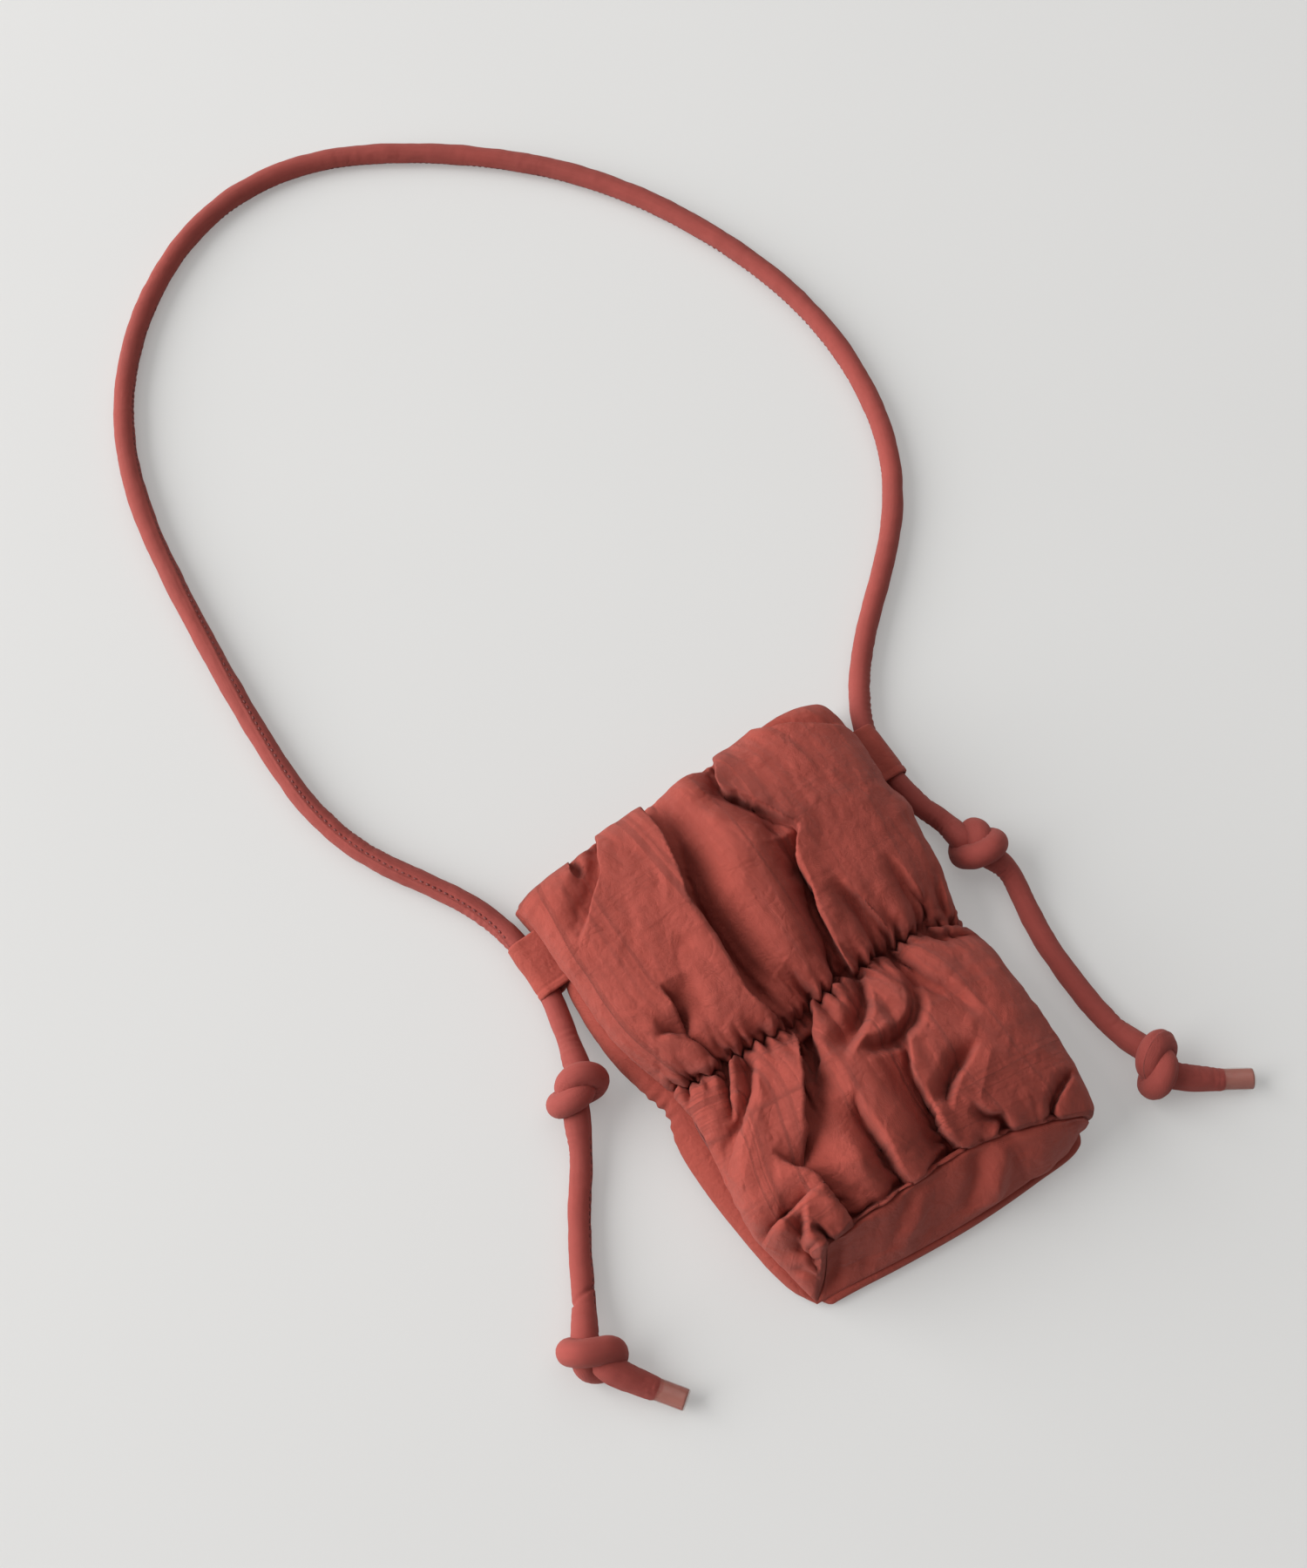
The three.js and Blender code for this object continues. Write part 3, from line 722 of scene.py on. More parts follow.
def seam_fade(count):
    """How far the seam sinks along the front's lower edge: less and less round the right corner."""
    t = np.linspace(0, 1, count)
    return smoothstep(np.minimum(t / SEAM_FADE[0], (1 - t) / SEAM_FADE[1]))


def sewn_edge(edge):
    """The stitched line itself, drawn into the padding between its two end corners."""
    inward = unit(edge.mean(0) + np.array(SEWN_INWARD) - edge)
    return edge + (SEAM_INSET * seam_fade(len(edge)))[:, None] * inward


def sink_seam(X, seam):
    """Draws the cloth beside the seam into a narrow groove along it."""
    flat = X.reshape(-1, 3)
    nearest = np.argmin((seam ** 2).sum(1) - 2 * flat @ seam.T, 1)
    gap = np.linalg.norm(flat - seam[nearest], axis=1)
    depth = SEAM_DEPTH * seam_fade(len(seam))
    inward = unit(seam.mean(0) + np.array(SEAM_INWARD) - seam)
    flat = flat + (depth[nearest] * np.clip(1 - gap / SEAM_WIDTH, 0, 1))[:, None] * inward[nearest]
    return flat.reshape(X.shape)


def front_half(left_seam, right_seam, crowns, squares, bulges):
    """Sections of one half of the front, row by row up the bag."""
    rows = len(squares)
    left, right = spline(left_seam, rows), spline(right_seam, rows)
    first, last = crowns[0][0], crowns[-1][0]
    heights = along(crowns, first + (last - first) * np.linspace(0, 1, rows))
    return np.array([arch(*row) for row in zip(left, right, heights, squares, bulges)])


def front_shape():
    """Smooth shape of the front's lower and upper half, before any fold."""
    t = np.linspace(0, 1, LOWER_ROWS + 1)
    squaring = smoothstep((t - LOWER_SQUARING[0]) / LOWER_SQUARING[1])
    squares = CROWN_SQUARE + (WAIST_SQUARE - CROWN_SQUARE) * squaring
    bulges = smoothstep((LOWER_BULGING[0] - t) / LOWER_BULGING[1])
    lower = front_half(LEFT_SEAM_LOWER, RIGHT_SEAM_LOWER, LOWER_CROWN, squares, bulges)
    t = t[:, None]
    lower += (bottom_edge() - lower[0])[None] * (1 - smoothstep(t / LOWER_HEM_BLEND))[..., None]
    waist_shift = along(WAIST_LINE, lower[-1][:, 0]) - lower[-1][:, 1]
    lower[..., 1] += waist_shift * smoothstep((t - LOWER_WAIST_PULL[0]) / LOWER_WAIST_PULL[1])
    t = np.linspace(0, 1, UPPER_ROWS + 1)
    spread = smoothstep(t / UPPER_SPREADING)
    squares = WAIST_SQUARE + (CROWN_SQUARE - WAIST_SQUARE) * spread
    bulges = spread * (1 - UPPER_SLIMMING * t)
    upper = front_half(LEFT_SEAM_UPPER, RIGHT_SEAM_UPPER, UPPER_CROWN, squares, bulges)
    t = t[:, None]
    waist_shift = along(WAIST_LINE, upper[0][:, 0]) - upper[0][:, 1]
    mouth_shift = along(MOUTH_LINE, upper[-1][:, 0]) - upper[-1][:, 1]
    upper[..., 1] += waist_shift * (1 - smoothstep(t / UPPER_WAIST_PULL)) + mouth_shift * smoothstep(t)
    return lower, upper


def path_field(P, path, values):
    """Signed distance in plan from a path (left of travel positive), value beside it, way across it."""
    both = spline(np.column_stack([path, values]), 120)
    line, value = both[:, :2], both[:, 2]
    step = np.linalg.norm(line[1] - line[0])
    tangent = tangents(line)
    slope = np.gradient(value) / step
    flat = P[..., :2].reshape(-1, 2)
    best = np.argmin((line ** 2).sum(1) - 2 * flat @ line.T, 1)
    off = flat - line[best]
    across = np.stack([-tangent[best, 1], tangent[best, 0]], 1)
    ahead = (off * tangent[best]).sum(1)
    signed = (off * across).sum(1)
    past = ((best == 0) & (ahead < 0)) | ((best == len(line) - 1) & (ahead > 0))
    signed = np.where(past, np.copysign(np.linalg.norm(off, axis=1), signed), signed)
    beside = np.maximum(value[best] + slope[best] * np.clip(ahead, -step, step), 0)
    shape = P.shape[:2]
    return signed.reshape(shape), beside.reshape(shape), across.reshape(*shape, 2)


def press_fold(P, path, depths, lip, floor, reach, lean, width):
    """One fold of the front: a sharp leaning lip over a valley whose far side is soft."""
    d, depth, across = path_field(P, path, depths)
    d, across = d * lip, across * lip
    depth, reach, width = FOLD_DEPTH * depth, FOLD_REACH * reach, LIP_SHARP * width
    top = np.clip((P[..., 2] - FOLD_BASE) / FOLD_RISE, 0, 1)
    wall = 1 - 0.5 * (smoothstep(d / width) + np.clip(d / width, 0, 1))
    drop = np.where(d > 0, wall, 1 - smoothstep((-d - floor) / reach))
    puff = np.where(d > 0, LIP_SWELL * np.exp(-((d - 2 * width) / (1.5 * width)) ** 2), 0)
    crest = np.exp(-((d - width) / np.where(d > width, 0.7 * reach, 0.5 * width)) ** 2)
    P[..., 2] += depth * (puff - drop) * top
    P[..., :2] -= across * (FOLD_LEAN * lean * depth / max(depths) * crest * top)[..., None]


def raise_ridge(P, path, height, reach):
    d, _, _ = path_field(P, path, [1.0] * len(path))
    P[..., 2] += height * np.exp(-np.abs(d / reach) ** 1.1)


def pleats(P, line, sizes, seed):
    """Small sharp pleats that run out from a gathered seam, at uneven steps along it."""
    local = np.random.default_rng(seed)
    x = P[..., 0].copy()
    dy = np.abs(P[..., 1] - along(line, x))
    for pitch, depth, length, width in sizes:
        at = line[0][0] + pitch
        while at < line[-1][0]:
            lean = local.normal(0, PLEAT_LEAN)
            deep = depth * local.uniform(*PLEAT_DEEP)
            reach = length * local.uniform(*PLEAT_LONG)
            wide = width * local.uniform(*PLEAT_WIDE)
            off = np.abs(x - at - lean * dy) / (wide * (1 + 0.6 * dy / reach))
            P[..., 2] -= deep * np.exp(-off ** 1.4) * np.exp(-(dy / reach) ** 1.6)
            at += pitch * local.uniform(*PLEAT_STEP)


def from_waist(P):
    return np.abs(P[..., 1] - along(WAIST_LINE, P[..., 0]))


def shirr(P, sizes, seed):
    """Gathered waist: a narrow groove along the stitched line, with small pleats running out from it."""
    pleats(P, WAIST_LINE, sizes, seed)
    dy = from_waist(P)
    gathers = np.abs(soft_noise(P.shape[:2], GATHER_BLUR / CELL, GATHER_STRETCH))
    P[..., 2] += (gathers - GATHER_MEAN) * (GATHER_FAR + np.exp(-dy / GATHER_REACH))
    height, middle, half = WAIST_ROLL
    depth, narrow = WAIST_GROOVE
    P[..., 2] += height * np.exp(-((dy - middle) / half) ** 2) - depth * np.exp(-(dy / narrow) ** 2)
    pitch, least, most, reach = WAIST_TEETH
    knots = np.arange(WAIST_LINE[0][0], WAIST_LINE[-1][0], pitch)
    teeth = np.random.default_rng(SEED).uniform(least, most, len(knots))
    teeth = teeth * np.where(np.arange(len(knots)) % 2, 1, -1)
    P[..., 1] += np.interp(P[..., 0], knots, teeth) * np.exp(-(dy / reach) ** 2)
    low = np.where(dy < WAIST_FLOOR_REACH, WAIST_FLOOR, 0)
    P[..., 2] = np.where(np.abs(P[..., 0]) < WAIST_FLOOR_HALF, np.maximum(P[..., 2], low), P[..., 2])


def front_panel():
    """Lower and upper half of the front with folds, gathers and creases, as grids."""
    shapes = front_shape()
    lower, upper = shapes[0].copy(), shapes[1].copy()
    for P, folds, ridges, sizes, seed in (
            (lower, LOWER_FOLDS, LOWER_RIDGES, LOWER_PLEATS, PLEAT_SEEDS["lower"]),
            (upper, UPPER_FOLDS, UPPER_RIDGES, UPPER_PLEATS, PLEAT_SEEDS["upper"])):
        for fold in folds:
            press_fold(P, *fold)
        for ridge in ridges:
            raise_ridge(P, *ridge)
        shirr(P, sizes, seed)
    pleats(lower, [p[:2] for p in FRONT_BOTTOM_SEAM], SEAM_PLEATS, PLEAT_SEEDS["seam"])
    lower = shapes[0] + (lower - shapes[0]) * edge_fade(lower.shape[:2], sides=8, bottom=5, top=0)[..., None]
    upper = shapes[1] + (upper - shapes[1]) * edge_fade(upper.shape[:2], sides=8, bottom=0, top=0)[..., None]
    waist = 0.5 * (lower[-1] + upper[0])
    near = (1 - smoothstep(np.arange(UPPER_ROWS + 1) * CELL / WAIST_BLEND))[:, None, None]
    lower += near[LOWER_ROWS::-1] * (waist - lower[-1])[None]
    upper += near * (waist - upper[0])[None]
    lower[0] = sewn_edge(bottom_edge())
    done = []
    for P in (lower, upper):
        dy = from_waist(P)
        shift = 0.0
        for skip, steps, grow, gather, pressure, smooth, ripple in RELAX_LEVELS:
            few = P[::skip, ::skip]
            grow_u = 1 + grow + gather * np.exp(-dy[::skip, ::skip] / RELAX_GATHER)
            X = relax(few + shift, grow_u, 1 + grow, steps, pressure, RELAX_GOAL, smooth, ripple)
            shift = refine(X - few) if skip > 1 else X - few
        done.append(crumple(sharpen(P + shift, SHARPEN, SHARPEN_PASSES), CRUMPLE, CELL))
    return done


# Other panels

def coons(bottom, top, left, right):
    rows, cols = len(left), len(bottom)
    s = np.linspace(0, 1, cols)[None, :, None]
    t = np.linspace(0, 1, rows)[:, None, None]
    ruled = (1 - t) * bottom[None] + t * top[None] + (1 - s) * left[:, None] + s * right[:, None]
    corners = ((1 - s) * (1 - t) * bottom[0] + s * (1 - t) * bottom[-1]
               + (1 - s) * t * top[0] + s * t * top[-1])
    return ruled - corners


def swell(X, amount, sinks):
    """Pushes the middle of a patch out by amount and draws its left and right ends in by their own sinks."""
    s = np.sin(math.pi * np.linspace(0, 1, X.shape[1]))[None, :]
    sink = np.where(np.arange(X.shape[1]) < X.shape[1] / 2, *sinks)[None, :]
    amount = amount - (amount + sink) * (1 - s) ** 1.5
    t = np.sin(math.pi * np.linspace(0, 1, X.shape[0]))[:, None]
    return X + (amount * np.sqrt(np.clip(s, 0, 1)) * np.clip(t, 0, 1) ** 0.8)[..., None] * normals(X)


def bottom_folds(T):
    """Each fold is a hollow on the left of its path and a soft ridge on the right."""
    s, t = np.linspace(0, BOTTOM_LONG, T.shape[1])[None, :], np.linspace(0, BOTTOM_WIDE, T.shape[0])[:, None]
    plan = np.stack(np.broadcast_arrays(s, t), -1)
    lift = np.zeros(T.shape[:2])
    for path, heights, half in BOTTOM_FOLDS:
        d, height, _ = path_field(plan, path, heights)
        lift += height * d / half * np.exp(0.5 * (1 - (d / half) ** 2))
    return T + (lift * edge_fade(T.shape[:2], 6, 6, 3))[..., None] * normals(T)


def bottom_panel(seam):
    """Panel under the bag, between the front's lower edge and the back."""
    edge = seam[::2]
    wall = WALL_COLS // 2
    bottom = spline(BACK_BOTTOM_SEAM, len(edge) - 2 * wall)
    T = coons(bottom, edge[wall:-wall], edge[:wall + 1], edge[:-wall - 2:-1])
    T = swell(T, BOTTOM_SWELL, BOTTOM_SINKS)
    soft = BOTTOM_WAVE * soft_noise(T.shape[:2], 4.0, 3.0) * edge_fade(T.shape[:2], 6, 6, 3)
    T = bottom_folds(T + soft[..., None] * normals(T))
    X = relax(T, 1.035, 1.035, steps=120, pressure=0.01, goal=0.015, smooth=0.1, ripple=0.8, floor=0.4)
    return sink_seam(refine(crumple(X, 1.1, 2 * CELL)), seam)


def gusset(front, back, side_line):
    """Side panel: a narrow padded strip between front and back that stands out to the side line."""
    front, back = front[::2], back[::2]
    ends = [np.linspace(front[k], back[k], GUSSET_COLS + 1) for k in (0, -1)]
    T = coons(*ends, front, back)
    lift = np.sqrt(np.clip(np.sin(math.pi * np.linspace(0, 1, GUSSET_COLS + 1)), 0, 1))[None, :]
    reach = along(side_line, T[:, GUSSET_COLS // 2, 1]) - T[:, GUSSET_COLS // 2, 0]
    T[..., 0] += reach[:, None] * lift
    dy = np.abs(T[..., 1] - GUSSET_WAIST)
    height, rate, near = GUSSET_WAVE
    wave = height * np.sign(reach)[:, None] * np.sin(T[..., 1] * rate)
    T[..., 0] += wave * np.exp(-(dy / near) ** 2) * lift
    grow_v = 1.03 + 0.04 * np.exp(-dy / 12.0)
    X = relax(T, 1.02, grow_v, steps=120, pressure=0.0, goal=0.03, smooth=0.2, ripple=0.5, floor=0.4)
    return refine(crumple(X, 0.3, 2 * CELL))


def back_panel():
    """Panel the bag lies on, flat on the floor, rolling up to its seam at the bottom."""
    rows = (LOWER_ROWS + UPPER_ROWS) // 2 + 1
    left, right = spline(BACK_SEAM_LEFT, rows), spline(BACK_SEAM_RIGHT, rows)
    bottom = spline(BACK_BOTTOM_SEAM, (COLS - 2 * WALL_COLS) // 2 + 1)
    top = spline([left[-1]] + BACK_MOUTH + [right[-1]], len(bottom))
    T = coons(bottom, top, left, right)
    s, t = np.linspace(0, 1, T.shape[1])[None, :], np.linspace(0, 1, rows)[:, None]
    inside = smoothstep(np.minimum(s, 1 - s) / BACK_MARGIN)
    run = T[..., 1] - bottom[None, :, 1]
    turn = np.clip(run / BACK_ROLL, 0, 1)
    rolled = BACK_FLOOR + (bottom[None, :, 2] - BACK_FLOOR) * 0.5 * (1 + np.cos(math.pi * turn))
    T[..., 2] += (np.where(t < 0.5, rolled, BACK_FLOOR) - T[..., 2]) * inside * smoothstep((1 - t) / 0.05)
    gone = 1 - smoothstep((run - BACK_ROLL) / BACK_SLACK_REACH)
    slack = np.where(run < BACK_ROLL, BACK_SLACK * run, BACK_SLACK * BACK_ROLL * gone)
    T[..., 1] -= (slack + BACK_BULGE * np.sin(math.pi * turn)) * inside
    dy = np.abs(T[..., 1] - BACK_WAIST)
    pleat = np.sin(T[..., 0] * 1.2 + np.sin(T[..., 0] / 5.0))
    flat = inside * smoothstep(np.minimum(t, 1 - t) / 0.05)
    rise = BACK_RISE[0] * np.exp(-(dy / BACK_RISE[1]) ** 2)
    pleat = BACK_PLEAT[0] * (1 + pleat) * np.exp(-(dy / BACK_PLEAT[1]) ** 2)
    T[..., 2] += (rise + pleat) * flat
    grow = 1.02 + 0.05 * np.exp(-dy / 12.0)
    X = relax(T, grow, 1.02, steps=80, pressure=0.0, goal=0.03, smooth=0.2, ripple=0.4, floor=0.3)
    return refine(X)


# Mouth: every panel's edge rolls inwards into a hem, and the lining hangs from the hems

def mouth_hem(front_rows, right_row, back_row, left_row):
    """Rows of the hem around the whole mouth, as loops: front left to right, right side, back, left side."""
    edge = front_rows[-1]
    t = np.linspace(0, 1, len(edge))
    out_front = unit(edge - front_rows[-5])
    inward = -normals(front_rows)[-1]
    thick = HEM_THICK[0] + (HEM_THICK[1] - HEM_THICK[0]) * smoothstep(np.minimum(t, 1 - t) * 5)
    target = edge + thick[:, None] * inward
    target[:, 0] = np.clip(target[:, 0], -OPENING_HALF, OPENING_HALF)
    target[:, 2] = np.maximum(target[:, 2], LINING_FLOOR + 2)
    under = back_row[::-1].copy()
    under[:, 0] *= OPENING_HALF / np.abs(under[:, 0]).max()
    under[:, 2] = LINING_FLOOR
    turn = np.linspace(0, 1, len(right_row))[:, None]
    right_target = (1 - turn) * target[-1] + turn * under[0]
    left_target = (1 - turn) * under[-1] + turn * target[0]
    loop = np.vstack([edge, right_row[1:], back_row[::-1][1:], left_row[::-1][1:-1]])
    goal = np.vstack([target, right_target[1:], under[1:], left_target[1:-1]])
    out = np.tile((0.0, 1.0, 0.0), (len(loop), 1))
    out[:len(edge)] = out_front
    for _ in range(HEM_SMOOTHING):
        out = unit(out + np.roll(out, 1, 0) + np.roll(out, -1, 0))
        goal = 0.5 * goal + 0.25 * (np.roll(goal, 1, 0) + np.roll(goal, -1, 0))
    width = np.linalg.norm(goal - loop, axis=1)
    bulge = np.minimum(0.5 * width, HEM_BULGE)
    rows = []
    for a in np.linspace(0, math.pi, HEM_ROUND_ROWS + 1)[1:]:
        rows.append(loop + (goal - loop) * 0.5 * (1 - math.cos(a)) + out * (bulge * math.sin(a))[:, None])
    for d in np.linspace(0, HEM_DEPTH, HEM_FLAT_ROWS + 1)[1:]:
        rows.append(goal - np.array((0.0, d, 0.0)))
    return np.array(rows)


def lining_rows(loop):
    """The lining as loops from the hem down to the flat end of the bag."""
    rows = []
    noise = soft_noise((LINING_ROWS, len(loop)), 2.2)
    for i, t in enumerate(np.linspace(0, 1, LINING_ROWS)):
        row = loop.copy()
        row[:, 1] = loop[:, 1] + (LINING_END - loop[:, 1]) * t
        half = along([(y, -x) for y, x in LEFT_SIDE], row[:, 1]) - LINING_GAP
        row[:, 0] *= 1 + (half / OPENING_HALF - 1) * smoothstep(t * 4)
        close = (1 - t ** 3) * (1 - 0.25 * smoothstep(t * 2))
        ceiling = loop[:, 2] + (np.minimum(loop[:, 2], LINING_CEILING) - loop[:, 2]) * smoothstep(t * 5)
        row[:, 2] = LINING_MIDDLE + (ceiling - LINING_MIDDLE) * close
        row[:, 2] += LINING_WAVE * noise[i] * smoothstep(t * 8) * close
        rows.append(row)
    return np.array(rows)


# Strap tabs

def tab_mesh(name, sign, material):
    """Tape folded round the cord, both ends sewn into the side, with a narrow hem along its lower edge."""
    turn = np.radians(np.arange(90, -91, -15))
    bend = np.array(TAB_CENTRE) + TAB_RADIUS * np.stack([np.cos(turn), np.sin(turn)], 1)
    line = spline(TAB_TOP + bend.tolist() + TAB_UNDER, TAB_POINTS)
    tangent = tangents(line)
    out = np.stack([-tangent[:, 1], tangent[:, 0]], 1)
    out *= np.sign(((line - line.mean(0)) * out).sum(1).mean())
    y = np.linspace(*TAB_SPAN, TAB_COLS)
    edge = np.sqrt(np.clip(np.minimum(y - TAB_SPAN[0], TAB_SPAN[1] - y) / TAB_EDGE, 0.04, 1))
    past_hem = y - TAB_SPAN[0] - TAB_HEM
    outer = TAB_THICK / 2 + TAB_HEM_RISE * (1 - smoothstep((past_hem + 0.5) / 0.6))
    outer -= TAB_HEM_RISE * np.exp(-((past_hem - 0.3) / 0.35) ** 2)
    ring_y = np.concatenate([y, y[::-1]])
    ring_off = np.concatenate([outer * edge, -TAB_THICK / 2 * edge[::-1]])
    wave = TAB_WAVE * soft_noise((len(line), len(ring_y)), 6.0)
    wave[:, TAB_COLS:] = wave[:, :TAB_COLS][:, ::-1]
    section = line[:, None] + out[:, None] * (ring_off[None, :] + wave)[..., None]
    height = np.maximum(section[..., 1], TAB_LOWEST)
    verts = np.stack([sign * section[..., 0], np.broadcast_to(ring_y, height.shape), height], -1)
    cols = len(ring_y)
    faces = grid_faces(len(line), cols, wrap=True, flip=sign > 0)
    first, last = tuple(range(cols)), tuple(range((len(line) - 1) * cols, len(line) * cols))
    faces += [first if sign > 0 else first[::-1], last[::-1] if sign > 0 else last]
    run = np.linspace(0, length_of(line), len(line))
    uv = np.stack(np.broadcast_arrays(ring_y[None, :], run[:, None]), -1).reshape(-1, 2) * M
    return make_object(name, verts.reshape(-1, 3), faces, material, uv), length_of(line)


# Knots and cords

def tie_knot(entry, leave, way_in, way_out, roll, turned):
    """Overhand knot between two points of the cord: tied loose, then drawn until its turns touch."""
    n, d = KNOT_POINTS, CORD_DIAMETER
    gap_ends = np.linalg.norm(leave - entry)
    goal = leave.copy()
    if turned:
        leave = entry + way_in * gap_ends
        leave[2] = entry[2]
    start = leave.copy()
    axis = unit(leave - entry)
    side, lift = square_to(axis)
    e1 = math.cos(roll) * side + math.sin(roll) * lift
    e2 = -math.sin(roll) * side + math.cos(roll) * lift
    # Overhand knot as a polynomial curve, drawn out between the two points
    t = np.linspace(-2.3, 2.3, 400)
    x, y, z = t ** 3 - 3 * t, t ** 4 - 4 * t ** 2, t ** 5 - 10 * t
    fade = 1 - smoothstep((np.abs(z) - 11) / 28)
    p = (entry + leave) / 2 + (0.9 * d * x * fade)[:, None] * e1
    p = p + (0.75 * d * (y + 2.2) * fade)[:, None] * e2
    p = resample(p + (z / 82 * gap_ends)[:, None] * axis, n)
    loose = length_of(p) / (n - 1)
    tight = (gap_ends + KNOT_SLACK * d) / (n - 1)
    free = np.ones(n)
    free[[0, 1, -2, -1]] = 0
    p[0], p[1] = entry, entry + way_in * tight
    if not turned:
        p[-1], p[-2] = goal, goal - way_out * tight
    first, second = np.triu_indices(n, 1)
    for step in range(KNOT_STEPS):
        rest = loose + (tight - loose) * min(1.0, 2 * step / KNOT_STEPS)
        if turned:
            g = float(np.clip((step / KNOT_STEPS - KNOT_SWING[0]) / KNOT_SWING[1], 0, 1))
            p[-1] = start + (goal - start) * g
            p[-2] = p[-1] - unit((1 - g) * axis + g * way_out) * tight
        p[1:-1] += KNOT_SMOOTH * (0.5 * (p[:-2] + p[2:]) - p[1:-1]) * free[1:-1, None]
        for o in (0, 1, 0, 1, 0, 1):
            a = np.arange(o, n - 1, 2)
            link = p[a + 1] - p[a]
            gap = np.linalg.norm(link, axis=1)
            pull = ((gap - rest) / gap / np.maximum(free[a] + free[a + 1], 1))[:, None] * link
            p[a] += free[a, None] * pull
            p[a + 1] -= free[a + 1, None] * pull
        apart = (second - first) > math.ceil(KNOT_APART * d / rest)
        a, b = first[apart], second[apart]
        link = p[b] - p[a]
        gap = np.linalg.norm(link, axis=1)
        near = gap < d * KNOT_CONTACT
        a, b, link, gap = a[near], b[near], link[near], gap[near]
        push = KNOT_PUSH * ((d * KNOT_CONTACT - gap) / np.maximum(gap, 1e-9))[:, None] * link
        move = np.zeros_like(p)
        np.add.at(move, a, -push)
        np.add.at(move, b, push)
        count = np.bincount(np.concatenate([a, b]), minlength=n)
        p += move * (free / np.sqrt(np.maximum(count, 1)))[:, None]
        p[:, 2] = np.maximum(p[:, 2], CORD_RADIUS + KNOT_LIFT)
    return p


def tail_path(tail):
    """Both knots tied, the stretches between them smoothed, and the end run on into its sleeve."""
    upper, lower = np.array(tail["upper_M"]) / M, np.array(tail["lower_M"]) / M
    end = np.array(tail["end_M"]) / M
    way_down, way_on = unit(upper[-1] - upper[-2]), unit(lower[1] - lower[0])
    way_to_end, way_out = unit(lower[-1] - lower[-2]), unit(tail["end_way"])
    first = tie_knot(upper[-1], lower[0], way_down, way_on, tail["rolls"][0], turned=False)
    second = tie_knot(lower[-1], end, way_to_end, way_out, tail["rolls"][1], turned=True)
    straight = end + np.linspace(0, SLEEVE_LENGTH, 12)[1:, None] * way_out
    pieces = [spline(upper, 40)[:-1], first, spline(lower, 60)[1:-1], second, straight]
    loose = [np.ones(len(piece)) for piece in pieces]
    loose[1] = loose[3] = 1 - edge_fade((KNOT_POINTS, 3), 0, KNOT_EASE, KNOT_EASE)[:, 1]
    both = np.column_stack([np.vstack(pieces), np.concatenate(loose)])
    run = run_along(both[:, :3])
    at = np.linspace(0, run[-1], int(run[-1]))
    both = np.stack([np.interp(at, run, column) for column in both.T], 1)
    p, weight = both[:, :3], both[1:-1, 3:]
    for step in range(TAIL_SMOOTHING):
        ease(p, 1 if step < TAIL_SMOOTH_ALL else weight)
    return p, 1 + KNOT_FATTER * (1 - both[:, 3])


def frames_along(path):
    tangent = tangents(path)
    normal = unit(np.cross(np.cross(tangent[0], (0, 0, 1.0)), tangent[0]))
    out = np.empty_like(path)
    for i, t in enumerate(tangent):
        normal = unit(normal - t * np.dot(normal, t))
        out[i] = normal
    return tangent, out, np.cross(tangent, out)


